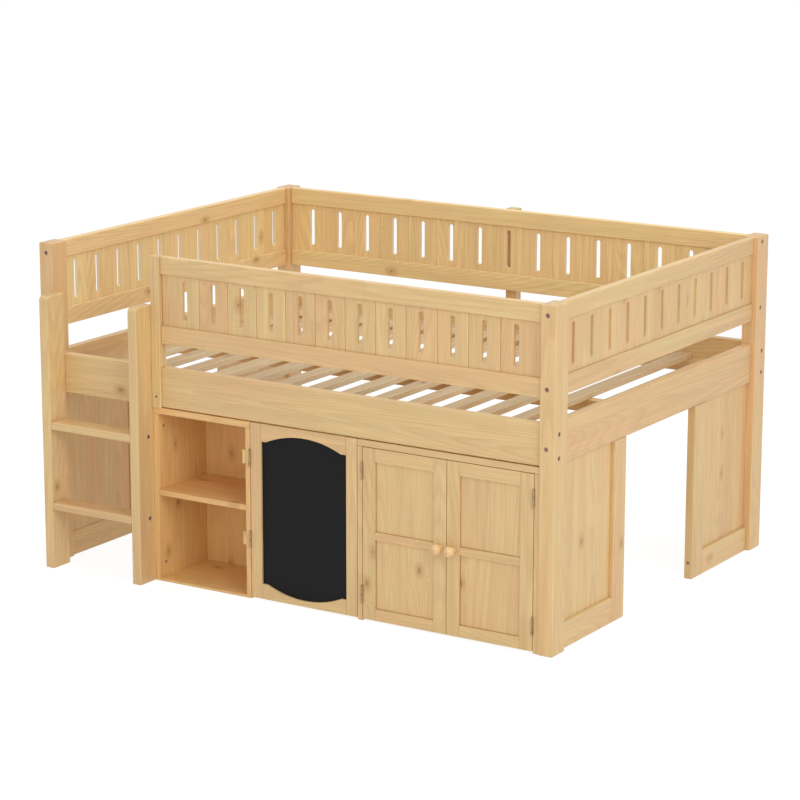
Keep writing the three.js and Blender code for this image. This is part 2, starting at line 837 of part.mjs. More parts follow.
// Framed door: one grooved frame with a middle rail, round two recessed panels.
function panelDoor(name, left, right, knobX) {
  const bottom = doorFloorGap;
  const top = storageTopBottom - doorGap;
  const upperRailBottom = top - doorTopRailHeight;
  const lowerRailTop = bottom + doorBottomRailHeight;
  const middleRailBottom = (lowerRailTop + upperRailBottom - doorMiddleRailHeight) / 2;
  const middleRailTop = middleRailBottom + doorMiddleRailHeight;
  const knobZ = middleRailBottom + doorMiddleRailHeight / 2;
  const innerLeft = left + doorStileWidth;
  const innerRight = right - doorStileWidth;
  const openings = [
    [lowerRailTop, middleRailBottom],
    [middleRailTop, upperRailBottom],
  ];
  const outline = rectangle(new THREE.Shape(), left, bottom, right, top);
  outline.holes = openings.map(([low, high]) => (
    rectangle(new THREE.Path(), innerLeft, low, innerRight, high)));
  const grooveFront = storageFront + doorPanelRecess - seat;
  const grooveBack = grooveFront + doorPanelThickness + 2 * seat;
  const grooves = openings.map(([low, high]) => block(
    [innerLeft - doorGrooveDepth, grooveFront, low - doorGrooveDepth],
    [innerRight + doorGrooveDepth, grooveBack, high + doorGrooveDepth],
  ));
  const spigotHole = rod(
    [knobX, storageFront - overrun, knobZ],
    [0, 1, 0],
    knobSpigotRadius + seat,
    overrun + knobSpigotLength + seat,
    boltSegments,
  );
  const blank = slab(outline, doorThickness, doorEase).translate(0, storageFront, 0);
  const frame = join(cut(blank, ...grooves, spigotHole), ...movingLeaves(name));
  const tongue = doorGrooveDepth - seat;
  const panels = openings.map(([low, high]) => block(
    [innerLeft - tongue, grooveFront + seat, low - tongue],
    [innerRight + tongue, grooveBack - seat, high + tongue],
  ));
  return [
    part(`${name}_frame`, pine, frame),
    part(`${name}_lower_panel`, pine, panels[0]),
    part(`${name}_upper_panel`, pine, panels[1]),
    knob(`${name}_knob`, knobX, storageFront, knobZ),
  ];
}

function rectangle(path, left, bottom, right, top) {
  path.moveTo(left, bottom);
  path.lineTo(right, bottom);
  path.lineTo(right, top);
  path.lineTo(left, top);
  path.closePath();
  return path;
}

// Turned ball knob with a flared base and a spigot let into the stile.
function knob(name, x, face, z) {
  const ballCentre = knobReach - knobRadius;
  const neckAngle = Math.asin(knobNeckRadius / knobRadius);
  const profile = [
    [0, -knobSpigotLength],
    [knobSpigotRadius, -knobSpigotLength],
    [knobSpigotRadius, seat],
    [knobBaseRadius, seat],
    [knobBaseRadius, knobBaseHeight],
    [knobNeckRadius, knobBaseHeight + ease / 2],
  ];
  const steps = knobSegments / 2;
  for (let index = 0; index <= steps; index += 1) {
    const angle = (Math.PI - neckAngle) * (1 - index / steps);
    const radius = index === steps ? 0 : knobRadius * Math.sin(angle);
    profile.push([radius, ballCentre + knobRadius * Math.cos(angle)]);
  }
  const geometry = aim(turned(profile, knobSegments), [0, -1, 0]);
  return part(name, pine, geometry.translate(x, face, z));
}

// The blackboard's opening: straight sides, flat shoulders and a shallow arch above and below.
function archedOpening(left, right, low, high) {
  const half = (right - left) / 2 - archShoulder;
  const radius = (half * half + archRise * archRise) / (2 * archRise);
  const middle = (left + right) / 2;
  const swing = Math.asin(half / radius);
  const path = new THREE.Path();
  path.moveTo(left, low);
  path.absarc(middle, low - archRise + radius, radius,
    1.5 * Math.PI - swing, 1.5 * Math.PI + swing, false);
  path.lineTo(right, low);
  path.lineTo(right, high);
  path.absarc(middle, high + archRise - radius, radius,
    Math.PI / 2 - swing, Math.PI / 2 + swing, false);
  path.lineTo(left, high);
  path.closePath();
  return path;
}

function boardDoor() {
  const bottom = doorFloorGap;
  const top = storageHeight;
  const innerLeft = boardDoorLeft + boardStileWidth;
  const innerRight = boardDoorRight - boardStileWidth;
  const low = bottom + boardRailHeight - doorFloorGap;
  const high = top - boardRailHeight;
  const outline = rectangle(new THREE.Shape(), boardDoorLeft, bottom, boardDoorRight, top);
  outline.holes = [archedOpening(innerLeft, innerRight, low, high)];
  const boardFront = storageFront + boardRebate;
  const rebate = block(
    [innerLeft - boardLip, boardFront, low - archRise - boardLip],
    [innerRight + boardLip, storageFront + doorThickness + overrun, high + archRise + boardLip],
  );
  const blank = slab(outline, doorThickness, doorEase, archSteps).translate(0, storageFront, 0);
  const inset = boardLip - seat;
  const board = block(
    [innerLeft - inset, boardFront + seat, low - archRise - inset],
    [innerRight + inset, boardFront + seat + boardThickness, high + archRise + inset],
  );
  return [
    part('board_door_frame', pine, join(cut(blank, rebate), ...movingLeaves('board_door'))),
    part('blackboard', chalkboard, board),
  ];
}

// The bed put together, with its origin on the floor under its middle
const leftDoorRight = leftDoorLeft + wardrobeDoorSpan;
const rightDoorLeft = rightDoorRight - wardrobeDoorSpan;
const bed = new THREE.Group();
bed.name = 'loft_bed';
bed.add(
  ...corners.map(cornerPost),
  sideRail(false),
  sideRail(true),
  endRail(false),
  endRail(true),
  centreBeam(),
  slatDeck(),
  ...guards(),
  guardPost('front_guard_post', frontGuardPostLeft, frontGuardPostWidth, false),
  guardPost('rear_guard_post', (bedLength - rearGuardPostWidth) / 2, rearGuardPostWidth, true),
  ...endPanels(),
  ladderStile('ladder_left_stile', ladderLeft, stileBolts(ladderLeft, 1)),
  ladderStile('ladder_right_stile', ladderRightStileLeft, stileBolts(ladderRight, -1)),
  ladderTread('ladder_lower_tread', lowerTreadBottom),
  ladderTread('ladder_upper_tread', upperTreadBottom),
  ...shelfUnit(),
  ...wardrobe(),
  ...panelDoor('left_door', leftDoorLeft, leftDoorRight, leftDoorRight - knobSetback),
  ...panelDoor('right_door', rightDoorLeft, rightDoorRight, rightDoorLeft + knobSetback),
  ...boardDoor(),
);
bed.position.set(-bedLength / 2, -(bedWidth + ladderFront) / 2, 0);

export default bed;
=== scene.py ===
"""Looks of a loft bed in oiled pine: corner posts, slotted guards, slats, ladder,
open shelves, a blackboard door and a two-door wardrobe. Metres, +Z up."""

import logging
import math
import zlib
from dataclasses import dataclass, replace
from enum import Enum, IntEnum
from typing import Callable, Iterable, Optional, Sequence, Union

import bpy
from mathutils import Matrix, Vector


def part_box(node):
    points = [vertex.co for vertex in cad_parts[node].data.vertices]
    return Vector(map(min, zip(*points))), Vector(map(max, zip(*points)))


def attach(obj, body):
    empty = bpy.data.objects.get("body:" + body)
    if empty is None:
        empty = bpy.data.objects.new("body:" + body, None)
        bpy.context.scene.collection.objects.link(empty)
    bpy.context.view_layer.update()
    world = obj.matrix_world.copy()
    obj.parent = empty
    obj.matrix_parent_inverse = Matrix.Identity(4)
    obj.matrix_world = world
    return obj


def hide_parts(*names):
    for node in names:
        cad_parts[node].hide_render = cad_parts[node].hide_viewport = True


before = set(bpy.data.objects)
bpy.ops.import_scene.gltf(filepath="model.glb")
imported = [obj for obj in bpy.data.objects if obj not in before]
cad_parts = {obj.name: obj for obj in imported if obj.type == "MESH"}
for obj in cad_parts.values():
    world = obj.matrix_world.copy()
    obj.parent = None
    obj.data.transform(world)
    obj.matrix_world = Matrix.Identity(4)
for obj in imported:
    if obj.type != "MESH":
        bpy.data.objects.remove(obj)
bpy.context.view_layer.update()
LOG = logging.getLogger("loft_bed")

# How far apart seated faces stand, how far a cutting tool reaches past what it cuts, and the
# share of a face's normal along an axis from which on the face counts as square to it
SEAT = 0.0003
OVERRUN = 0.004
SQUARE_SHARE = 0.7

X, Y, Z = range(3)
UP = Vector((0, 0, 1))
FRONT_AND_REAR = ("front", "rear")
LEFT_AND_RIGHT = ("left", "right")

# The axis across each side, and whether the way inward goes up or down it
SIDES = {"left": (X, 1), "right": (X, -1), "front": (Y, 1), "rear": (Y, -1)}

Piece = bpy.types.Object
Socket = bpy.types.NodeSocket
Input = Union[bpy.types.NodeSocket, float, tuple]
Test = Callable[[Vector, Vector], bool]


class Body(Enum):
    """The bodies that a piece can ride on."""

    BED = "bed_frame"
    LEFT_DOOR = "left_door"
    RIGHT_DOOR = "right_door"
    BOARD_DOOR = "board_door"


class Slot(Enum):
    """The record's material slots."""

    FRAME = "frame_pine"
    BOARDS = "board_pine"
    SLATS = "slat_pine"
    STORAGE = "storage_pine"
    DOORS = "door_pine"
    BLACKBOARD = "blackboard"
    BOLTS = "bolt_steel"
    HINGES = "hinge_steel"


class Grain(Enum):
    """How a board is cut: the axes across its face, through it and along its grain."""

    UPRIGHT_FRONT = ("X", "Y", "Z")
    UPRIGHT_SIDE = ("Y", "X", "Z")
    LENGTH_FRONT = ("Z", "Y", "X")
    LENGTH_TOP = ("Y", "Z", "X")
    DEPTH_SIDE = ("Z", "X", "Y")
    DEPTH_TOP = ("X", "Z", "Y")


class Flats(IntEnum):
    """How many flats a rounded edge has."""

    VEE = 1
    FINE = 2
    ROUND = 3
    SOFT = 4


class Element(Enum):
    """What a selection in edit mode is made of."""

    POINT = "VERT"
    EDGE = "EDGE"
    FACE = "FACE"


def along(axis: int, length: float) -> Vector:
    """Returns the vector of a length along one axis."""
    return Vector([length if index == axis else 0.0 for index in range(3)])


@dataclass(frozen=True)
class Span:
    """An upright box between two corners.

    Args:
        low: The lowest corner.
        high: The highest corner.
    """

    low: Vector
    high: Vector

    @classmethod
    def of(cls, node: str) -> "Span":
        """Returns the box of a CAD node."""
        low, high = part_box(node)
        return cls(low, high)

    @classmethod
    def between(cls, *bounds: tuple) -> "Span":
        """Returns the box between two bounds on X, two on Y and two on Z."""
        return cls(*(Vector(corner) for corner in zip(*bounds)))

    @property
    def size(self) -> Vector:
        """The lengths of the sides."""
        return self.high - self.low

    @property
    def centre(self) -> Vector:
        """The middle of the box."""
        return (self.low + self.high) / 2

    def face(self, side: str) -> float:
        """Returns where one of the four upright sides stands."""
        axis, inward = SIDES[side]
        return (self.low if inward > 0 else self.high)[axis]

    def grown(self, x: float, y: float, z: float) -> "Span":
        """Returns the box with a clearance round it."""
        around = Vector((x, y, z))
        return Span(self.low - around, self.high + around)

    def past(self, axis: int) -> "Span":
        """Returns the box reaching past both its ends along an axis."""
        return self.with_side(axis, self.low[axis] - OVERRUN, self.high[axis] + OVERRUN)

    def with_side(self, axis: int, low: Optional[float] = None, high: Optional[float] = None) -> "Span":
        """Gives the box with one side set anew.

        Args:
            axis: X, Y or Z.
            low: The new lower bound, or None to keep it.
            high: The new upper bound, or None to keep it.

        Returns:
            The changed box.
        """
        corners = self.low.copy(), self.high.copy()
        for corner, bound in zip(corners, (low, high)):
            if bound is not None:
                corner[axis] = bound
        return Span(*corners)


class NodeBench:
    """Lays out the nodes of one tree.

    Args:
        tree: The tree, which is emptied first.
    """

    # A Mix node's two colours and its result, which share their names with other sockets
    MIX_FIRST, MIX_SECOND, MIX_RESULT = 6, 7, 2

    def __init__(self, tree: bpy.types.NodeTree) -> None:
        """Starts with an empty tree."""
        self.tree = tree
        tree.nodes.clear()

    def add(self, kind: str, inputs: Optional[dict] = None, **settings: object) -> bpy.types.Node:
        """Adds a node.

        Args:
            kind: The node's type.
            inputs: Values or sockets for its inputs, by name or number.
            **settings: Attributes to set on the node.

        Returns:
            The new node.
        """
        node = self.tree.nodes.new(kind)
        for key, value in settings.items():
            setattr(node, key, value)
        for key, value in (inputs or {}).items():
            self.feed(node.inputs[key], value)
        return node

    def feed(self, socket: Socket, value: Input) -> None:
        """Links a socket to another one, or sets its value.

        Args:
            socket: The socket to feed.
            value: The other socket, or the value.
        """
        if isinstance(value, Socket):
            self.tree.links.new(value, socket)
        else:
            socket.default_value = value

    def math(self, operation: str, *inputs: Input) -> Socket:
        """Returns the result of one Math node."""
        return self.add("ShaderNodeMath", dict(enumerate(inputs)), operation=operation).outputs[0]

    def times(self, first: Input, second: Input) -> Socket:
        """Returns the product of two values."""
        return self.math("MULTIPLY", first, second)

    def step(self, value: Input, bounds: tuple, ends: tuple = (0.0, 1.0)) -> Socket:
        """Returns a smooth step from one end to the other, as a value goes between two bounds."""
        inputs = dict(enumerate((value, *bounds, *ends)))
        return self.add("ShaderNodeMapRange", inputs, interpolation_type="SMOOTHSTEP").outputs[0]

    def blend(self, share: Input, first: Input, second: Input, kind: str = "MIX") -> Socket:
        """Returns a blend of two colours."""
        inputs = {0: share, self.MIX_FIRST: first, self.MIX_SECOND: second}
        return self.add("ShaderNodeMix", inputs, data_type="RGBA", blend_type=kind).outputs[self.MIX_RESULT]

    def dim(self, colour: Input, level: Input) -> Socket:
        """Returns a colour at another level of brightness."""
        return self.blend(1.0, colour, self.vector(level, level, level), "MULTIPLY")

    def vector(self, *parts: Input) -> Socket:
        """Returns a vector put together from three values."""
        return self.add("ShaderNodeCombineXYZ", dict(enumerate(parts))).outputs[0]

    def noise(self, place: Input, scale: float, detail: float = 2.0, roughness: float = 0.5) -> Socket:
        """Returns the value of a noise texture."""
        inputs = {"Vector": place, "Scale": scale, "Detail": detail, "Roughness": roughness}
        return self.add("ShaderNodeTexNoise", inputs).outputs[0]


class SurfaceBench(NodeBench):
    """Lays out the nodes of one surface.

    Args:
        name: The material's name.
    """

    def __init__(self, name: str) -> None:
        """Starts a material with a Principled shader."""
        self.material = bpy.data.materials.new(name)
        self.material.use_nodes = True
        super().__init__(self.material.node_tree)
        self.shader = self.add("ShaderNodeBsdfPrincipled")
        self.add("ShaderNodeOutputMaterial", {"Surface": self.shader.outputs[0]})
        self.place = self.add("ShaderNodeTexCoord").outputs

    def shade(self, **inputs: Input) -> None:
        """Feeds the shader's sockets, each named with underscores for its spaces."""
        for name, value in inputs.items():
            self.feed(self.shader.inputs[name.replace("_", " ")], value)

    def relief(self, height: Input, strength: float, distance: float) -> None:
        """Gives the surface a fine relief."""
        bump = self.add("ShaderNodeBump", {"Strength": strength, "Distance": distance, "Height": height})
        self.shade(Normal=bump.outputs[0])


def tint(*screen: int) -> tuple:
    """Turns a colour seen on a screen into the linear one that shaders take."""
    shares = [channel / 255 for channel in screen]
    return (*(s / 12.92 if s <= 0.0393 else ((s + 0.055) / 1.055) ** 2.4 for s in shares), 1.0)


@dataclass(frozen=True)
class Finish:
    """What a piece is dressed in.

    Args:
        name: What the finish is called.
    """

    name: str

    def label(self, grain: Grain) -> str:
        """Returns the material's name; only wood has one for each cut."""
        return self.name

    def material(self, grain: Grain) -> bpy.types.Material:
        """Returns the material for pieces cut one way, which is made the first time."""
        return bpy.data.materials.get(self.label(grain)) or self.made(grain)

    def made(self, grain: Grain) -> bpy.types.Material:
        """Makes the material; each kind of finish has a way of its own."""
        raise NotImplementedError


@dataclass(frozen=True)
class WoodFinish(Finish):
    """Oiled or bare softwood with growth rings, streaks, fibres and a few knots.

    Args:
        name: What the finish is called.
        pale: The colour of the early wood.
        line: The colour of the late wood, the dark line of each ring.
        blush: The warmer colour that drifts through the board.
        knot: The colour of a knot.
        heart: The colour at the middle of a knot.
        rings: How many rings one swell of the grain holds.
        contrast: How strongly the rings show.
        streak: How strongly the streaks along the grain show.
        knot_share: The share of places that hold a knot.
        tone_spread: How much the boards differ in tone.
        roughness: The roughness of the early wood.
        sheen_drop: How much smoother the late wood is.
        oil: The weight of the oil film over the wood.
    """

    pale: tuple
    line: tuple
    blush: tuple
    knot: tuple
    heart: tuple
    rings: float = 96.0
    contrast: float = 0.19
    streak: float = 0.040
    knot_share: float = 0.29
    tone_spread: float = 0.06
    roughness: float = 0.50
    sheen_drop: float = 0.06
    oil: float = 0.20

    def label(self, grain: Grain) -> str:
        """Returns the material's name, with the cut."""
        return f"{self.name}_{grain.name.lower()}"

    def made(self, grain: Grain) -> bpy.types.Material:
        """Makes the material for one cut."""
        return WoodBench(self, grain).material


class WoodBench(SurfaceBench):
    """Draws a wood for boards cut one way.

    Args:
        finish: The finish to draw.
        grain: How the boards are cut.
    """

    # How far, in metres, boards lie apart in the tree: across, through and along it
    REACH = (7.0, 5.0, 11.0)

    # The noises: how far they are drawn out along the grain, scale, detail and roughness
    SWELL = (0.07, 3.4, 1.4, 0.40)
    FIBRE = (0.035, 330.0, 3.0, 0.62)
    DRIFT = (0.16, 7.0, 2.0, 0.55)
    CLOUD = (0.35, 21.0, 2.0, 0.5)
    STREAKS = ((0.04, 40.0, 2.0, 0.5), (0.04, 130.0, 2.0, 0.5))

    # The cells that may hold a knot, and the knots' smallest radius and its spread
    CELL_STRETCH, CELL_SCALE, CELL_CHANCE = 0.62, 5.6, 0.9
    WANDER_SCALE, WANDER = 60.0, 0.02
    KNOT_RADIUS, KNOT_SPREAD = 0.020, 0.030

    # Where the smooth steps begin and end
    KNOT, HEART, NEAR, HALO = (-0.35, 0.45), (0.35, 0.85), (0.26, 0.0), (0.45, 0.95)
    RING_RISE, RING_FALL = (0.20, 0.88), (1.0, 0.90)
    WARM, CLOUDY, MIDDLE = (0.42, 0.82), (0.40, 0.70), (0.30, 0.70)
    EDGE, END = (0.98, 0.85), (0.80, 0.97)

    # How strongly each mark shows, and how far knots bend the rings
    BEND, BOARD_WARMTH, CLOUD_SHARE, HALO_SHARE = 0.06, 0.22, 0.35, 0.45
    KNOT_SHARE, HEART_SHARE = 0.62, 0.45
    # Rounded edges are painted paler: a painted highlight along them as well as rubbed wear
    EDGE_LEVELS, END_LEVELS, FIBRE_LEVELS = (1.0, 1.05), (1.0, 0.86), (0.96, 1.03)

    # The planed face
    SMOOTHER, ROUGHER, COAT_ROUGHNESS = 0.05, 0.07, 0.32
    FIBRE_HEIGHT, RING_HEIGHT, RELIEF, RELIEF_DEPTH = 0.6, 0.35, 0.30, 0.0004

    def __init__(self, finish: WoodFinish, grain: Grain) -> None:
        """Shifts each board to its own part of the tree, by its own number, and draws the wood."""
        super().__init__(finish.label(grain))
        self.finish, self.grain = finish, grain
        parts = self.add("ShaderNodeSeparateXYZ", {0: self.place["Object"]}).outputs
        number = self.add("ShaderNodeAttribute", attribute_name="board").outputs["Fac"]
        chance = self.add("ShaderNodeTexWhiteNoise", {"W": number}, noise_dimensions="1D").outputs["Color"]
        self.chance = self.add("ShaderNodeSeparateColor", {0: chance}).outputs
        self.across, self.through, self.along = (
            self.math("ADD", parts[axis], self.times(self.chance[index], self.REACH[index]))
            for index, axis in enumerate(grain.value))
        knot, heart, near = self.knots()
        rings = self.rings(near)
        fibre = self.grained(self.FIBRE)
        wood = self.marks(self.ground(), rings, knot, heart, near)
        self.shade(Base_Color=self.tone_wear_and_edge_highlight(wood, fibre))
        self.planed(rings, knot, fibre)

    def grained(self, noise: tuple, flat: bool = False) -> Socket:
        """Draws a noise out along the grain.

        Args:
            noise: How far it is drawn out, its scale, detail and roughness.
            flat: Whether it is the same all through the board.

        Returns:
            The noise's value.
        """
        stretch, *settings = noise
        place = self.vector(self.across, 0.0 if flat else self.through, self.times(self.along, stretch))
        return self.noise(place, *settings)

    def knots(self) -> tuple:
        """Finds the knots.

        Returns:
            Where knots are, where their hearts are, and how near the next knot is, each 0 to 1.
        """
        place = self.vector(self.across, self.times(self.along, self.CELL_STRETCH), 0.0)
        inputs = {"Vector": place, "Scale": self.CELL_SCALE, "Randomness": self.CELL_CHANCE}
        cell = self.add("ShaderNodeTexVoronoi", inputs, voronoi_dimensions="2D").outputs
        wander = self.math("SUBTRACT", self.noise(place, self.WANDER_SCALE, 1.0), 0.5)
        distance = self.math("ADD", cell["Distance"], self.times(wander, self.WANDER))
        pick = self.add("ShaderNodeSeparateColor", {0: cell["Color"]}).outputs
        present = self.math("LESS_THAN", pick[0], self.finish.knot_share)
        radius = self.math("MULTIPLY_ADD", pick[1], self.KNOT_SPREAD, self.KNOT_RADIUS)
        depth = self.math("SUBTRACT", 1.0, self.math("DIVIDE", distance, radius))
        steps = (depth, self.KNOT), (depth, self.HEART), (distance, self.NEAR)
        return tuple(self.times(self.step(value, bounds), present) for value, bounds in steps)

    def rings(self, near: Socket) -> Socket:
        """Draws the growth rings.

        Args:
            near: How near the next knot is, which bends them.

        Returns:
            The late wood of the rings, 0 to 1.
        """
        bent = self.math("ADD", self.grained(self.SWELL), self.times(near, self.BEND))
        phase = self.math("FRACT", self.times(bent, self.finish.rings))
        return self.times(self.step(phase, self.RING_RISE), self.step(phase, self.RING_FALL))

    def ground(self) -> Socket:
        """Mixes the colour under the rings.

        Returns:
            Pale wood with a warm drift, warm clouds and streaks.
        """
        wood = self.finish
        drift = self.grained(self.DRIFT, flat=True)
        wave = self.math("MULTIPLY_ADD", self.chance[0], self.BOARD_WARMTH, drift)
        ground = self.blend(self.step(wave, self.WARM), wood.pale, wood.blush)
        cloud = self.step(self.grained(self.CLOUD), self.CLOUDY)
        ground = self.blend(self.times(cloud, self.CLOUD_SHARE), ground, wood.blush)
        levels = 1 - wood.streak, 1 + wood.streak
        return self.dim(ground, self.times(
            *(self.step(self.grained(noise), self.MIDDLE, levels) for noise in self.STREAKS)))

    def marks(self, ground: Socket, rings: Socket, knot: Socket, heart: Socket, near: Socket) -> Socket:
        """Draws the rings, and the knots with a halo of darker wood.

        Args:
            ground: The colour under them.
            rings: The late wood.
            knot: Where knots are.
            heart: Where their hearts are.
            near: How near the next knot is.

        Returns:
            The colour of the wood.
        """
        wood = self.finish
        ringed = self.blend(self.times(rings, wood.contrast), ground, wood.line)
        haloed = self.blend(self.times(self.step(near, self.HALO), self.HALO_SHARE), ringed, wood.line)
        knotted = self.blend(self.times(knot, self.KNOT_SHARE), haloed, wood.knot)
        return self.blend(self.times(heart, self.HEART_SHARE), knotted, wood.heart)

    def tone_wear_and_edge_highlight(self, wood: Socket, fibre: Socket) -> Socket:
        """Varies the tone from board to board, paints rounded edges paler as a painted highlight and rubbed
        wear, and lets end grain drink more oil.

        Args:
            wood: The colour of the wood.
            fibre: The fibres along the grain.

        Returns:
            The colour with these.
        """
        parts = self.add("ShaderNodeSeparateXYZ", {0: self.place["Normal"]}).outputs
        sizes = {axis: self.math("ABSOLUTE", parts[axis]) for axis in "XYZ"}
        flatness = self.math("MAXIMUM", sizes["X"], self.math("MAXIMUM", sizes["Y"], sizes["Z"]))
        # A painted highlight and rubbed wear: faces that turn round an edge are made paler
        edge = self.step(flatness, self.EDGE, self.EDGE_LEVELS)
        end = self.step(sizes[self.grain.value[2]], self.END, self.END_LEVELS)
        spread = self.finish.tone_spread
        tone = self.math("MULTIPLY_ADD", self.chance[2], spread, 1.0 - spread / 2)
        level = self.times(self.step(fibre, self.MIDDLE, self.FIBRE_LEVELS), tone)
        return self.dim(wood, self.times(level, self.times(edge, end)))

    def planed(self, rings: Socket, knot: Socket, fibre: Socket) -> None:
        """Sets the sheen and the relief of the planed face.

        Args:
            rings: The late wood.
            knot: Where knots are.
            fibre: The fibres along the grain.
        """
        wood = self.finish
        late = self.times(self.math("MAXIMUM", rings, knot), -wood.sheen_drop)
        levels = wood.roughness - self.SMOOTHER, wood.roughness + self.ROUGHER
        rough = self.math("ADD", self.step(fibre, self.MIDDLE, levels), late)
        self.shade(Roughness=rough, Coat_Weight=wood.oil, Coat_Roughness=self.COAT_ROUGHNESS)
        heights = self.times(fibre, self.FIBRE_HEIGHT), self.times(rings, self.RING_HEIGHT)
        self.relief(self.math("ADD", *heights), self.RELIEF, self.RELIEF_DEPTH)


@dataclass(frozen=True)
class BoardFinish(Finish):
    """The matt black of a chalkboard, with traces of wiped chalk.

    Args:
        name: What the finish is called.
        black: The colour of the paint.
        dust: The colour where chalk is left.
        gloss: The paint's specular level.
        clean: The roughness of clean paint.
        chalky: The roughness where chalk is left.
        trace: How much chalk is left at most.
        grit: The scale of its grit.
        wipe: How far the wiping is drawn out upward, and its scale, detail and roughness.
        wiped: Where chalk begins to show, and where it shows in full.
        relief: The strength and the depth of its relief.
    """

    black: tuple
    dust: tuple
    gloss: float = 0.22
    clean: float = 0.68
    chalky: float = 0.84
    trace: float = 0.16
    grit: float = 900.0
    wipe: tuple = (0.35, 7.0, 3.0, 0.6)
    wiped: tuple = (0.45, 0.80)
    relief: tuple = (0.25, 0.0002)

    def made(self, grain: Grain) -> bpy.types.Material:
        """Makes the material.

        Args:
            grain: The cut, which makes no difference here.

        Returns:
            The material.
        """
        bench = SurfaceBench(self.name)
        parts = bench.add("ShaderNodeSeparateXYZ", {0: bench.place["Object"]}).outputs
        stretch, *settings = self.wipe
        strokes = bench.vector(parts[X], parts[Y], bench.times(parts[Z], stretch))
        cloud = bench.step(bench.noise(strokes, *settings), self.wiped)
        grit = bench.noise(bench.place["Object"], self.grit)
        chalk = bench.times(cloud, bench.times(grit, self.trace))
        bench.shade(
            Base_Color=bench.blend(chalk, self.black, self.dust), Specular_IOR_Level=self.gloss,
            Roughness=bench.step(cloud, (0.0, 1.0), (self.clean, self.chalky)))
        bench.relief(grit, *self.relief)
        return bench.material


@dataclass(frozen=True)
class MetalFinish(Finish):
    """Plated steel, slightly brushed.

    Args:
        name: What the finish is called.
        colour: The colour of the plating.
        dull: The colour where the plating has dulled.
        roughness: The roughness of the clean plating.
        dulling: How much rougher it is where it has dulled.
        brush: The scale of the brush marks.
        patches: The scale, detail and roughness of the dull patches.
        patched: Where a patch begins to show, and where it shows in full.
        relief: The strength and the depth of the brush marks.
    """

    colour: tuple
    dull: tuple
    roughness: float = 0.35
    dulling: float = 0.2
    brush: float = 1500.0
    patches: tuple = (120.0, 3.0, 0.6)
    patched: tuple = (0.40, 0.70)
    relief: tuple = (0.2, 0.0001)

    def made(self, grain: Grain) -> bpy.types.Material:
        """Makes the material.

        Args:
            grain: The cut, which makes no difference here.

        Returns:
            The material.
        """
        bench = SurfaceBench(self.name)
        place = bench.place["Object"]
        patch = bench.step(bench.noise(place, *self.patches), self.patched)
        bench.shade(
            Base_Color=bench.blend(patch, self.colour, self.dull), Metallic=1.0,
            Roughness=bench.step(patch, (0.0, 1.0), (self.roughness, self.roughness + self.dulling)))
        bench.relief(bench.noise(place, self.brush), *self.relief)
        return bench.material


OILED_PINE = WoodFinish(
    "oiled_pine", pale=tint(226, 196, 138), line=tint(188, 142, 84), blush=tint(226, 184, 132),
    knot=tint(182, 130, 78), heart=tint(132, 84, 46))
# Paler pine for the rear and left guards, whose faces inside the bed stand in shade: painted light that
# lifts them to the brightness of the outer faces
INNER_PAINTED_LIGHT_PINE = replace(OILED_PINE, name="pale_pine", pale=tint(242, 215, 153), blush=tint(241, 204, 147))
HONEY_PINE = replace(OILED_PINE, name="honey_pine", pale=tint(236, 196, 128), blush=tint(236, 186, 124))
KNOB_PINE = replace(
    OILED_PINE, name="knob_pine", pale=tint(240, 205, 150), blush=tint(236, 197, 140), knot_share=0.0)
BARE_PINE = WoodFinish(
    "bare_pine", pale=tint(206, 183, 145), line=tint(172, 144, 104), blush=tint(200, 174, 138),
    knot=tint(160, 118, 76), heart=tint(116, 80, 48), contrast=0.20, roughness=0.70, oil=0.0)
# Paler bare pine for the sides of the slats and the slot walls of the inner guards: painted light that
# makes these shaded sides as bright as the lit tops and faces
SIDE_PAINTED_LIGHT_PINE = replace(
    BARE_PINE, name="sawn_pine", pale=tint(243, 226, 190), blush=tint(240, 218, 182),
    line=tint(212, 188, 150))
CHALKBOARD = BoardFinish("chalkboard", black=tint(15, 15, 18), dust=tint(88, 88, 87))
BOLT_STEEL = MetalFinish(
    "bolt_steel", colour=tint(166, 134, 140), dull=tint(122, 96, 104), roughness=0.40)
HINGE_STEEL = MetalFinish(
    "hinge_steel", colour=tint(186, 160, 124), dull=tint(150, 126, 94), roughness=0.45)


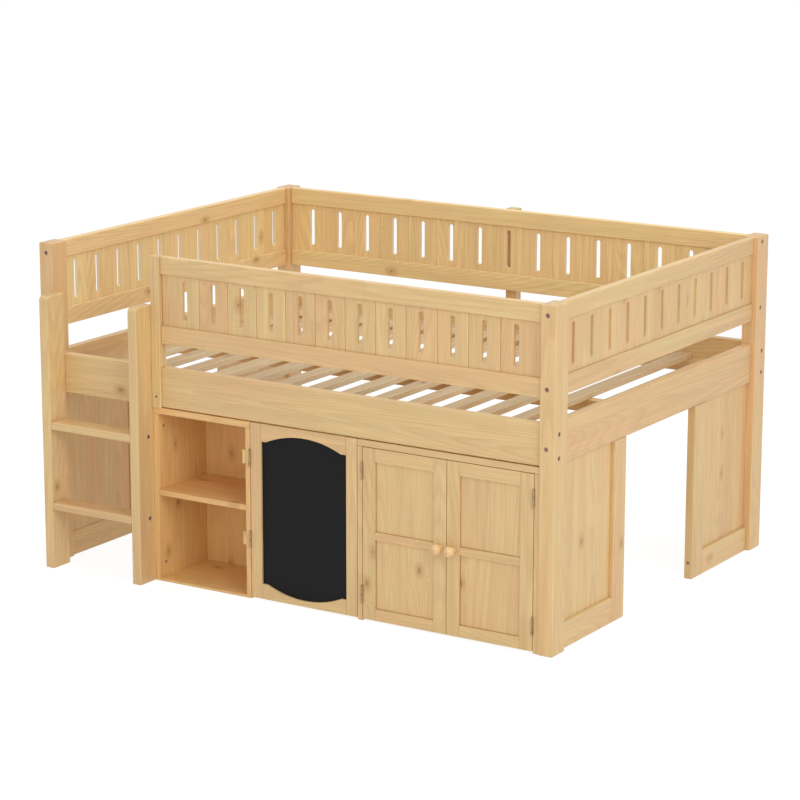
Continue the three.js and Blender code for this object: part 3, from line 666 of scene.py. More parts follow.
class Workshop:
    """The bench on which pieces are cut, eased, joined and dressed."""

    # Edges steeper than the first angle are eased, and faces up to the second shade as one
    EASED_FROM = math.radians(30)
    SMOOTH_TO = math.radians(40)
    # How strongly large faces draw the shading
    FLATNESS = 50
    # A prime that spreads the boards' numbers, and the step from one stave's number to the next
    NUMBERS = 99991
    STAVE_STEP = 0.3719

    @staticmethod
    def only(piece: Piece) -> None:
        """Selects one piece and makes it active."""
        bpy.ops.object.select_all(action="DESELECT")
        piece.select_set(True)
        bpy.context.view_layer.objects.active = piece

    @staticmethod
    def call(piece: Piece, name: str) -> Piece:
        """Names a piece and its mesh."""
        piece.name = piece.data.name = name
        return piece

    @classmethod
    def place(cls, name: str) -> Piece:
        """Names the new primitive and sets its place into its mesh."""
        piece = cls.call(bpy.context.view_layer.objects.active, name)
        bpy.ops.object.transform_apply(location=True, rotation=True, scale=True)
        return piece

    @classmethod
    def block(cls, name: str, span: Span) -> Piece:
        """Saws a square block to a box."""
        bpy.ops.object.select_all(action="DESELECT")
        bpy.ops.mesh.primitive_cube_add(size=1, location=span.centre, scale=span.size)
        return cls.place(name)

    @classmethod
    def rod(cls, name: str, start: Vector, run: Vector, radius: float, sides: int = 32) -> Piece:
        """Turns a rod.

        Args:
            name: The piece's name.
            start: The middle of one end.
            run: The way from there to the other end.
            radius: The rod's radius.
            sides: How many flats it has.

        Returns:
            The rod.
        """
        bpy.ops.object.select_all(action="DESELECT")
        turn = run.to_track_quat("Z", "Y").to_euler()
        bpy.ops.mesh.primitive_cylinder_add(
            vertices=sides, radius=radius, depth=run.length, location=start + run / 2, rotation=turn)
        return cls.place(name)

    @classmethod
    def pick(cls, piece: Piece, kind: Element, test: Test) -> None:
        """Selects parts of a mesh and stays in edit mode.

        Args:
            piece: The piece to work.
            kind: What is selected.
            test: Says whether it is, from an edge's two ends, a face's middle and normal, or a point
                given twice.
        """
        cls.only(piece)
        bpy.ops.object.mode_set(mode="EDIT")
        bpy.ops.mesh.select_mode(type=kind.value)
        bpy.ops.mesh.select_all(action="DESELECT")
        bpy.ops.object.mode_set(mode="OBJECT")
        points = piece.data.vertices
        if kind is Element.POINT:
            for point in points:
                point.select = test(point.co, point.co)
        elif kind is Element.EDGE:
            for edge in piece.data.edges:
                edge.select = test(*(points[index].co for index in edge.vertices))
        else:
            for face in piece.data.polygons:
                face.select = test(face.center, face.normal)
        bpy.ops.object.mode_set(mode="EDIT")

    @classmethod
    def bevel(
            cls, piece: Piece, width: float, flats: int = Flats.ROUND,
            test: Optional[Test] = None) -> Piece:
        """Rounds chosen edges, or all of them.

        Args:
            piece: The piece to work.
            width: How far the rounding reaches from the edge.
            flats: How many flats the rounding has.
            test: Says of an edge's two ends whether it is rounded.

        Returns:
            The same piece.
        """
        cls.pick(piece, Element.EDGE, test or (lambda first, second: True))
        bpy.ops.mesh.bevel(offset=width, segments=flats, clamp_overlap=True)
        bpy.ops.object.mode_set(mode="OBJECT")
        return piece

    @classmethod
    def plank(cls, name: str, span: Span, rounding: float, flats: int = Flats.ROUND) -> Piece:
        """Planes a plank and rounds all its edges."""
        return cls.bevel(cls.block(name, span), rounding, flats)

    @classmethod
    def apply(cls, piece: Piece, kind: str, **settings: object) -> Piece:
        """Adds a modifier to a piece and applies it at once.

        Args:
            piece: The piece to change.
            kind: The modifier's type.
            **settings: Its settings.

        Returns:
            The same piece.
        """
        cls.only(piece)
        bpy.ops.object.modifier_add(type=kind)
        modifier = piece.modifiers[-1]
        for key, value in settings.items():
            setattr(modifier, key, value)
        bpy.ops.object.modifier_apply(modifier=modifier.name)
        return piece

    @classmethod
    def cut(cls, piece: Piece, *tools: Piece) -> Piece:
        """Cuts tools out of a piece and puts the tools away.

        Args:
            piece: The piece to cut.
            *tools: The shapes to cut out of it.

        Returns:
            The same piece.
        """
        for tool in tools:
            cls.apply(piece, "BOOLEAN", object=tool, operation="DIFFERENCE", solver="EXACT")
            bpy.data.objects.remove(tool)
        return piece

    @classmethod
    def ease(cls, piece: Piece, width: float, flats: int = Flats.FINE) -> Piece:
        """Takes the sharpness off every steep edge."""
        return cls.apply(
            piece, "BEVEL", width=width, segments=flats, limit_method="ANGLE",
            angle_limit=cls.EASED_FROM, use_clamp_overlap=True, harden_normals=False)

    @classmethod
    def row(cls, piece: Piece, pitch: Vector, names: Iterable[str]) -> list:
        """Copies a piece in a row, each copy with a mesh of its own.

        Args:
            piece: The first of the row.
            pitch: The way from one to the next.
            names: The names of the copies.

        Returns:
            The piece and its copies.
        """
        made = [piece]
        for index, name in enumerate(names, 1):
            twin = piece.copy()
            twin.data = piece.data.copy()
            bpy.context.collection.objects.link(cls.call(twin, name))
            twin.data.transform(Matrix.Translation(pitch * index))
            made.append(twin)
        return made

    @classmethod
    def coat(cls, piece: Piece, finish: Finish, grain: Grain = Grain.UPRIGHT_FRONT) -> Piece:
        """Gives a piece its finish, and its faces the board number that comes from its name.

        Args:
            piece: The piece to dress.
            finish: Its finish.
            grain: How it is cut.

        Returns:
            The same piece.
        """
        number = (zlib.crc32(piece.name.encode()) % cls.NUMBERS) / cls.NUMBERS
        attributes = piece.data.attributes
        marks = attributes.get("board") or attributes.new("board", "FLOAT", "FACE")
        marks.data.foreach_set("value", [number] * len(piece.data.polygons))
        piece.data.materials.clear()
        piece.data.materials.append(finish.material(grain))
        return piece

    @classmethod
    def coat_part(cls, piece: Piece, finish: Finish, grain: Grain, test: Test) -> Piece:
        """Gives a second finish to some faces.

        Args:
            piece: The piece to dress.
            finish: The second finish.
            grain: How the piece is cut.
            test: Says of a face's middle and normal whether it gets the finish.

        Returns:
            The same piece.
        """
        piece.data.materials.append(finish.material(grain))
        last = len(piece.data.materials) - 1
        for face in piece.data.polygons:
            if test(face.center, face.normal):
                face.material_index = last
        return piece

    @classmethod
    def staves(cls, piece: Piece, axis: int, width: float) -> Piece:
        """Splits a glued-up board into staves, each with a board number of its own.

        Args:
            piece: The board.
            axis: The axis across the staves.
            width: About how wide a stave is.

        Returns:
            The same board.
        """
        places = [point.co[axis] for point in piece.data.vertices]
        low, high = min(places), max(places)
        count = max(1, round((high - low) / width))
        pitch = (high - low) / count
        cls.only(piece)
        bpy.ops.object.mode_set(mode="EDIT")
        for index in range(1, count):
            bpy.ops.mesh.select_all(action="SELECT")
            bpy.ops.mesh.bisect(plane_co=along(axis, low + index * pitch), plane_no=along(axis, 1))
        bpy.ops.object.mode_set(mode="OBJECT")
        numbers = piece.data.attributes["board"].data
        start = numbers[0].value
        for face in piece.data.polygons:
            stave = min(int((face.center[axis] - low) / pitch), count - 1)
            numbers[face.index].value = (start + stave * cls.STAVE_STEP) % 1.0
        return piece

    @classmethod
    def turned(cls, name: str, base: Vector, way: Vector, profile: Sequence[tuple], sides: int) -> Piece:
        """Turns a piece on the lathe.

        Args:
            name: The piece's name.
            base: The middle of its foot.
            way: The direction that it stands in.
            profile: Its radius and distance from the foot, step by step.
            sides: How many flats it has round it.

        Returns:
            The piece.
        """
        bpy.ops.object.select_all(action="DESELECT")
        radius, reach = profile[0]
        bpy.ops.mesh.primitive_circle_add(
            vertices=sides, radius=radius, fill_type="NGON", location=base + way * reach,
            rotation=way.to_track_quat("Z", "Y").to_euler())
        piece = cls.place(name)
        bpy.ops.object.mode_set(mode="EDIT")
        bpy.ops.mesh.select_mode(type="FACE")
        bpy.ops.mesh.select_all(action="SELECT")
        for next_radius, next_reach in profile[1:]:
            bpy.ops.mesh.extrude_region_move(TRANSFORM_OT_translate={"value": way * (next_reach - reach)})
            bpy.ops.transform.resize(
                value=[next_radius / radius] * 3, center_override=base + way * next_reach)
            radius, reach = next_radius, next_reach
        bpy.ops.mesh.select_all(action="SELECT")
        bpy.ops.mesh.normals_make_consistent(inside=False)
        bpy.ops.object.mode_set(mode="OBJECT")
        return piece

    @classmethod
    def join(cls, name: str, pieces: Sequence[Piece]) -> Piece:
        """Joins pieces into one object.

        Args:
            name: What it is called.
            pieces: The pieces, or one alone.

        Returns:
            The joined piece.
        """
        cls.only(pieces[0])
        for piece in pieces:
            piece.select_set(True)
        if len(pieces) > 1:
            bpy.ops.object.join()
        return cls.call(bpy.context.view_layer.objects.active, name)

    @classmethod
    def deliver(cls, name: str, pieces: Sequence[Piece], body: Body, slot: Slot, *nodes: str) -> None:
        """Joins a piece from its parts, smooths it and hangs it on its body.

        Args:
            name: The finished piece's name.
            pieces: Its parts, or the piece alone.
            body: What it rides on.
            slot: The record's slot for its finish; not used.
            *nodes: The CAD nodes that it stands for.
        """
        piece = cls.join(name, pieces)
        cls.only(piece)
        bpy.ops.object.shade_smooth_by_angle(angle=cls.SMOOTH_TO)
        cls.apply(piece, "WEIGHTED_NORMAL", keep_sharp=True, weight=cls.FLATNESS)
        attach(piece, body.value)
        if nodes:
            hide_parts(*nodes)
        LOG.info("%s: %d faces, on %s", piece.name, len(piece.data.polygons), body.value)

    @classmethod
    def frame_piece(cls, piece: Piece, node: str, grain: Grain, finish: Finish = OILED_PINE) -> None:
        """Dresses and delivers a piece of the bed frame that is a node of its own."""
        cls.deliver(piece.name, [cls.coat(piece, finish, grain)], Body.BED, Slot.FRAME, node)


@dataclass(frozen=True)
class Bolt:
    """A socket-head bolt.

    Args:
        face: The middle of its hole on the face of the wood.
        inward: The way it is driven.
    """

    face: Vector
    inward: Vector

    @classmethod
    def on(cls, side: str, span: Span, spot: Sequence[float]) -> "Bolt":
        """Places a bolt on one side of a box.

        Args:
            side: left, right, front or rear.
            span: The box.
            spot: A place level with the bolt.

        Returns:
            The bolt.
        """
        axis, inward = SIDES[side]
        face = Vector(spot)
        face[axis] = span.face(side)
        return cls(face, along(axis, inward))


@dataclass(frozen=True)
class BoltWork:
    """Bores counterbores and turns the bolt heads that stand in them."""

    head_radius: float = 0.0068
    bore_radius: float = 0.0076
    bore_depth: float = 0.006
    sink: float = 0.002
    socket_radius: float = 0.0038
    socket_depth: float = 0.0026
    rim: float = 0.0008
    sides: int = 40
    socket_sides: int = 6

    def bore(self, piece: Piece, bolts: Iterable[Bolt]) -> Piece:
        """Sinks a counterbore for each bolt."""
        sizes = self.bore_depth, self.bore_radius, self.sides
        return Workshop.cut(piece, *(self.hole("counterbore", bolt, *sizes) for bolt in bolts))

    def hole(self, name: str, bolt: Bolt, depth: float, radius: float, sides: int) -> Piece:
        """Makes the tool for a hole, whose depth counts from the bolt's face."""
        start, run = bolt.face - bolt.inward * OVERRUN, bolt.inward * (OVERRUN + depth)
        return Workshop.rod(name, start, run, radius, sides)

    def head(self, name: str, bolt: Bolt) -> Piece:
        """Turns one bolt head with its hexagon socket.

        Args:
            name: The head's name.
            bolt: The bolt.

        Returns:
            The head.
        """
        sunk = Bolt(bolt.face + bolt.inward * self.sink, bolt.inward)
        run = bolt.inward * (self.bore_depth - self.sink + SEAT)
        head = Workshop.rod(name, sunk.face, run, self.head_radius, self.sides)
        sizes = self.socket_depth, self.socket_radius, self.socket_sides
        Workshop.cut(head, self.hole("socket", sunk, *sizes))
        return Workshop.coat(Workshop.ease(head, self.rim), BOLT_STEEL)

    def heads(self, name: str, bolts: Sequence[Bolt]) -> None:
        """Makes all the bolt heads of one post or stile."""
        made = [self.head(f"{name}_{index}", bolt) for index, bolt in enumerate(bolts)]
        Workshop.deliver(name, made, Body.BED, Slot.BOLTS)


FRAME_BOLTS = BoltWork()
GUARD_SCREWS = BoltWork(
    head_radius=0.0042, bore_radius=0.0045, bore_depth=0.002, sink=0.0004, socket_radius=0.0018,
    socket_depth=0.0012, rim=0.0003)
PANEL_BOLTS = BoltWork(
    head_radius=0.0058, bore_radius=0.0064, bore_depth=0.004, sink=0.0008, socket_radius=0.0026,
    socket_depth=0.0018, rim=0.0005)
SHELF_FITTINGS = BoltWork(
    head_radius=0.0046, bore_radius=0.0050, bore_depth=0.003, sink=0.0008, socket_radius=0.0020,
    socket_depth=0.0014, rim=0.0004)


@dataclass
class CornerPosts:
    """The four corner posts and the bolts driven through them."""

    rounding: float = 0.004
    end_rail_drop: float = 0.008
    rail_spread: float = 0.038
    guard_rise: float = 0.014

    def build(self) -> None:
        """Makes every post with its bolts."""
        for end in FRONT_AND_REAR:
            for side in LEFT_AND_RIGHT:
                self.post(end, side)

    def bolts(self, end: str, side: str) -> list:
        """Places a post's bolts on its outer and its side face.

        Args:
            end: front or rear.
            side: left or right.

        Returns:
            The bolts.
        """
        post, end_rail, side_rail = (
            Span.of(node) for node in (f"{end}_{side}_post", f"{side}_end_rail", f"{end}_rail"))
        heights = [end_rail.centre.z - self.end_rail_drop]
        heights += [Span.of(f"{side}_guard_{level}_rail").centre.z for level in ("lower", "upper")]
        found = [Bolt.on(end, post, (end_rail.centre.x, 0, z)) for z in heights]
        places = [(side_rail, -self.rail_spread), (side_rail, self.rail_spread)]
        if end == "rear":
            places += [(Span.of(f"rear_guard_{level}_rail"), self.guard_rise)
                       for level in ("lower", "upper")]
        return found + [Bolt.on(side, post, rail.centre + UP * rise) for rail, rise in places]

    def post(self, end: str, side: str) -> None:
        """Makes one post.

        Args:
            end: front or rear.
            side: left or right.
        """
        name = f"{end}_{side}_post"
        bolts = self.bolts(end, side)
        piece = Workshop.plank(name + "_wood", Span.of(name), self.rounding)
        Workshop.frame_piece(FRAME_BOLTS.bore(piece, bolts), name, Grain.UPRIGHT_FRONT)
        FRAME_BOLTS.heads(f"{name}_bolts", bolts)


@dataclass
class BedRails:
    """The four bed rails, and the beam under the slats."""

    rounding: float = 0.0035

    def build(self) -> None:
        """Makes the side rails, the beam and the end rails."""
        for node in ("front_rail", "rear_rail", "centre_beam"):
            self.rail(node, Grain.LENGTH_FRONT)
        for node in ("left_end_rail", "right_end_rail"):
            self.rail(node, Grain.DEPTH_SIDE)

    def rail(self, node: str, grain: Grain) -> None:
        """Makes one rail, or the beam."""
        Workshop.frame_piece(Workshop.plank(node + "_wood", Span.of(node), self.rounding), node, grain)


@dataclass
class SlatDeck:
    """The slats and the two cleats that carry them."""

    count: int = 14
    width: float = 0.050
    thickness: float = 0.020
    end_margin: float = 0.085
    cleat_height: float = 0.030
    cleat_depth: float = 0.022
    rounding: float = 0.002

    def build(self) -> None:
        """Makes the cleats, one slat, and its copies, whose sides get a paler wood: painted light that
        makes them as bright as the tops.
        """
        deck = Span.of("slat_deck")
        cleat_top = deck.high.z - self.thickness
        pieces = []
        for name, low_y in (("front_cleat", deck.low.y), ("rear_cleat", deck.high.y - self.cleat_depth)):
            span = Span.between((deck.low.x, deck.high.x), (low_y, low_y + self.cleat_depth),
                                (cleat_top - self.cleat_height, cleat_top))
            cleat = Workshop.plank(name, span, self.rounding, Flats.FINE)
            pieces.append(Workshop.coat(cleat, OILED_PINE, Grain.LENGTH_FRONT))
        first = Span.of("left_end_rail").high.x + self.end_margin
        last = Span.of("right_end_rail").low.x - self.end_margin - self.width
        pitch = (last - first) / (self.count - 1)
        span = deck.with_side(X, first, first + self.width).with_side(Z, low=cleat_top)
        slat = Workshop.plank("slat_0", span, self.rounding)
        names = (f"slat_{index}" for index in range(1, self.count))
        for piece in Workshop.row(slat, along(X, pitch), names):
            Workshop.coat(piece, BARE_PINE, Grain.DEPTH_TOP)
            # The slat sides get a paler wood: painted light in place of the shade on them
            pieces.append(Workshop.coat_part(
                piece, SIDE_PAINTED_LIGHT_PINE, Grain.DEPTH_TOP, lambda middle, normal: abs(normal.x) > SQUARE_SHARE))
        Workshop.deliver("slats_and_cleats", pieces, Body.BED, Slot.SLATS, "slat_deck")


@dataclass
class Guard:
    """One guard: two grooved rails and the slotted boards between them.

    Args:
        side: front, rear, left or right.
        slots: How many boards, each with a slot.
        margin: From the guard's end to the middle of the first slot.
        top_rise: How far the upper rail reaches above its solid.
        finish: The finish of its wood; on the inner guards a paler pine, painted light over the shade
            inside the bed.
        slot_finish: The finish of the sawn walls of its slots; on the inner guards a paler wood, painted
            light on these shaded walls.
    """

    side: str
    slots: int
    margin: float
    top_rise: float
    finish: WoodFinish = OILED_PINE
    slot_finish: WoodFinish = OILED_PINE
    groove_depth: float = 0.008
    groove_clearance: float = 0.0018
    rail_rounding: float = 0.003
    vee: float = 0.003
    board_gap: float = 0.0002
    slot_width: float = 0.018
    slot_below: float = 0.021
    slot_above: float = 0.015
    slot_easing: float = 0.0012

    def __post_init__(self) -> None:
        """Finds the axes along the guard and through it, and the box of its boards."""
        self.run, self.thin = (X, Y) if self.side in FRONT_AND_REAR else (Y, X)
        self.node = f"{self.side}_guard_boards"
        self.whole = Span.of(self.node)

    def build(self) -> None:
        """Makes the rails and the boards."""
        lower, upper = (Span.of(f"{self.side}_guard_{level}_rail") for level in ("lower", "upper"))
        self.rail("lower", lower, (lower.high.z - self.groove_depth, lower.high.z + OVERRUN))
        self.rail("upper", upper.with_side(Z, high=upper.high.z + self.top_rise),
                  (upper.low.z - OVERRUN, upper.low.z + self.groove_depth))
        self.boards()

    def rail(self, level: str, span: Span, groove: tuple) -> None:
        """Makes one rail with the groove that holds the boards.

        Args:
            level: lower or upper.
            span: The rail's box.
            groove: The heights between which the groove is cut.
        """
        node = f"{self.side}_guard_{level}_rail"
        piece = Workshop.plank(node + "_wood", span, self.rail_rounding)
        slot = span.past(self.run).with_side(
            self.thin, self.whole.low[self.thin] - self.groove_clearance,
            self.whole.high[self.thin] + self.groove_clearance)
        Workshop.cut(piece, Workshop.block("groove", slot.with_side(Z, *groove)))
        grain = Grain.LENGTH_FRONT if self.run == X else Grain.DEPTH_SIDE
        Workshop.frame_piece(piece, node, grain, self.finish)

    def board(self, index: int, start: float, end: float, centre: float) -> Piece:
        """Makes one board with its round-ended slot.

        Args:
            index: Its number in the guard.
            start: Where it begins along the guard.
            end: Where it ends.
            centre: The middle of its slot.

        Returns:
            The board.
        """
        whole, thin = self.whole, self.thin
        face = whole.face(self.side)
        span = whole.with_side(self.run, start + self.board_gap, end - self.board_gap)
        piece = Workshop.block(f"{self.node}_{index}", span)
        Workshop.bevel(piece, self.vee, Flats.VEE, lambda first, second: (
            abs(first.z - second.z) > whole.size.z / 2 and abs(first[thin] - face) < SEAT))
        radius = self.slot_width / 2
        low = whole.low.z + self.groove_depth + self.slot_below + radius
        high = whole.high.z - self.groove_depth - self.slot_above - radius
        middle = whole.centre
        middle[self.run] = centre
        through = along(thin, whole.size[thin] + 2 * OVERRUN)
        tool = Workshop.rod("slot", Vector((*middle.xy, low)) - through / 2, through, radius)
        Workshop.pick(tool, Element.POINT, lambda point, same: point.z > low + SEAT)
        bpy.ops.transform.translate(value=(0, 0, high - low))
        bpy.ops.object.mode_set(mode="OBJECT")
        return Workshop.ease(Workshop.cut(piece, tool), self.slot_easing)

    def boards(self) -> None:
        """Makes the end boards and one board between them, and copies that one."""
        low, high = self.whole.low[self.run], self.whole.high[self.run]
        first, last = low - SEAT + self.margin, high + SEAT - self.margin
        pitch = (last - first) / (self.slots - 1)
        made = [self.board(0, low, first + pitch / 2, first)]
        middle = self.board(1, first + pitch / 2, first + 1.5 * pitch, first + pitch)
        names = (f"{self.node}_{index}" for index in range(2, self.slots - 1))
        made += Workshop.row(middle, along(self.run, pitch), names)
        made.append(self.board(self.slots - 1, last - pitch / 2, high, last))
        grain = Grain.UPRIGHT_FRONT if self.run == X else Grain.UPRIGHT_SIDE
        reach = self.slot_width / 2 + self.slot_easing
        for index, piece in enumerate(made):
            Workshop.coat(piece, self.finish, grain)
            # The slot walls take the slot finish, which on the inner guards is a paler wood painted as
            # light on them
            Workshop.coat_part(piece, self.slot_finish, grain, lambda spot, way, at=first + index * pitch: (
                abs(spot[self.run] - at) < reach and abs(way[self.thin]) < SQUARE_SHARE))
        Workshop.deliver(self.node + "_wood", made, Body.BED, Slot.BOARDS, self.node)


@dataclass
class GuardPosts:
    """The two posts that hold the long guards, notched over the bed rails."""

    rounding: float = 0.0025
    rear_rise: float = 0.0075
    screw_height: float = 0.036

    def build(self) -> None:
        """Makes the front and the rear guard post."""
        for end in FRONT_AND_REAR:
            self.post(end)

    def post(self, end: str) -> None:
        """Makes one post, its notch and the screw through its tongue.

        Args:
            end: front or rear.
        """
        node = f"{end}_guard_post"
        span, rail = Span.of(node), Span.of(f"{end}_rail")
        if end == "rear":
            span = span.with_side(Z, high=span.high.z + self.rear_rise)
        notch = span.past(X).past(Y).with_side(Z, span.low.z - OVERRUN, rail.high.z + SEAT)
        if end == "front":
            notch = notch.with_side(Y, low=rail.low.y - SEAT)
        else:
            notch = notch.with_side(Y, high=rail.high.y + SEAT)
        piece = Workshop.cut(Workshop.block(node + "_wood", span), Workshop.block("notch", notch))
        Workshop.ease(piece, self.rounding, Flats.ROUND)
        screws = [Bolt.on(end, span, (span.centre.x, 0, rail.low.z + self.screw_height))]
        Workshop.frame_piece(GUARD_SCREWS.bore(piece, screws), node, Grain.UPRIGHT_FRONT)
        GUARD_SCREWS.heads(f"{node}_screw", screws)


@dataclass
class EndPanel:
    """One boarded panel under an end of the bed: a stile, a sill and vee-jointed boards.

    Args:
        side: left or right.
        end: front or rear.
    """

    side: str
    end: str
    stile_width: float = 0.080
    sill_height: float = 0.085
    board_count: int = 4
    rounding: float = 0.002
    vee: float = 0.003
    board_gap: float = 0.0002
    groove_clearance: float = 0.001
    bolt_height: float = 0.056

    def build(self) -> None:
        """Makes the stile and the sill, and the boards in their grooves."""
        name = f"{self.side}_{self.end}_panel"
        whole, boards = Span.of(f"{name}_frame"), Span.of(f"{name}_boards")
        if self.end == "front":
            split = whole.high.y - self.stile_width
            stile, sill = whole.with_side(Y, low=split), whole.with_side(Y, high=split - SEAT)
        else:
            split = whole.low.y + self.stile_width
            stile, sill = whole.with_side(Y, high=split), whole.with_side(Y, low=split + SEAT)
        sill = sill.with_side(Z, high=whole.low.z + self.sill_height)
        groove = boards.grown(self.groove_clearance, SEAT, SEAT).with_side(Z, high=boards.high.z + OVERRUN)
        upright = Workshop.plank(f"{name}_stile", stile, self.rounding, Flats.FINE)
        Workshop.cut(upright, Workshop.block("groove", groove))
        self.bolt(name, upright, stile)
        Workshop.coat(upright, OILED_PINE, Grain.UPRIGHT_SIDE)
        groove = groove.with_side(Y, sill.low.y - OVERRUN, sill.high.y + OVERRUN)
        cross = Workshop.plank(f"{name}_sill", sill, self.rounding, Flats.FINE)
        Workshop.cut(cross, Workshop.block("groove", groove))
        Workshop.coat(cross, OILED_PINE, Grain.DEPTH_SIDE)
        Workshop.deliver(f"{name}_stile_and_sill", [upright, cross], Body.BED, Slot.FRAME, f"{name}_frame")
        self.boards(name, boards)

    def bolt(self, name: str, stile: Piece, span: Span) -> None:
        """Drives the bolt that holds the sill through the stile's open edge.

        Args:
            name: The panel's name.
            stile: The stile.
            span: The stile's box.
        """
        open_side = "rear" if self.end == "front" else "front"
        bolts = [Bolt.on(open_side, span, (span.centre.x, 0, self.bolt_height))]
        PANEL_BOLTS.bore(stile, bolts)
        PANEL_BOLTS.heads(f"{name}_bolt", bolts)

    def boards(self, name: str, whole: Span) -> None:
        """Makes one board and copies it.

        Args:
            name: The panel's name.
            whole: The box of all its boards.
        """
        pitch = whole.size.y / self.board_count
        first = whole.with_side(Y, whole.low.y + self.board_gap, whole.low.y + pitch - self.board_gap)
        face = whole.face(self.side)
        board = Workshop.block(f"{name}_board_0", first)
        Workshop.bevel(board, self.vee, Flats.VEE, lambda first, second: (
            abs(first.z - second.z) > self.sill_height and abs(first.x - face) < SEAT))
        names = (f"{name}_board_{index}" for index in range(1, self.board_count))
        made = [Workshop.coat(piece, OILED_PINE, Grain.UPRIGHT_SIDE)
                for piece in Workshop.row(board, along(Y, pitch), names)]
        Workshop.deliver(f"{name}_boards_wood", made, Body.BED, Slot.BOARDS, f"{name}_boards")


@dataclass
class Ladder:
    """Two stiles with a rounded shoulder, and two treads between them."""

    shoulder: float = 0.016
    shoulder_flats: int = 8
    rounding: float = 0.0035
    tread_rounding: float = 0.005
    bolt_setback: float = 0.057
    treads: tuple = ("ladder_lower_tread", "ladder_upper_tread")

    def build(self) -> None:
        """Makes the stiles and the treads."""
        for side in LEFT_AND_RIGHT:
            self.stile(side)
        for node in self.treads:
            tread = Workshop.plank(node + "_wood", Span.of(node), self.tread_rounding, Flats.SOFT)
            Workshop.frame_piece(tread, node, Grain.LENGTH_TOP)

    def stile(self, side: str) -> None:
        """Makes one stile with its bolts.

        Args:
            side: left or right.
        """
        node = f"ladder_{side}_stile"
        span = Span.of(node)
        piece = Workshop.block(node + "_wood", span)
        Workshop.bevel(piece, self.shoulder, self.shoulder_flats, lambda first, second: (
            min(first.z, second.z) > span.high.z - SEAT and max(first.y, second.y) < span.low.y + SEAT))
        Workshop.ease(piece, self.rounding, Flats.ROUND)
        setback = span.low.y + self.bolt_setback
        bolts = [Bolt.on(side, span, (0, setback, Span.of(tread).centre.z)) for tread in self.treads]
        Workshop.frame_piece(FRAME_BOLTS.bore(piece, bolts), node, Grain.UPRIGHT_SIDE)
        FRAME_BOLTS.heads(f"{node}_bolts", bolts)


@dataclass(frozen=True)
class Hinge:
    """One butt hinge.

    Args:
        axis_x: Where its pin stands.
        axis_y: How far forward its pin stands.
        centre: The height of its middle.
        sense: 1 where the door is on its right, -1 on its left.
    """

    axis_x: float
    axis_y: float
    centre: float
    sense: int


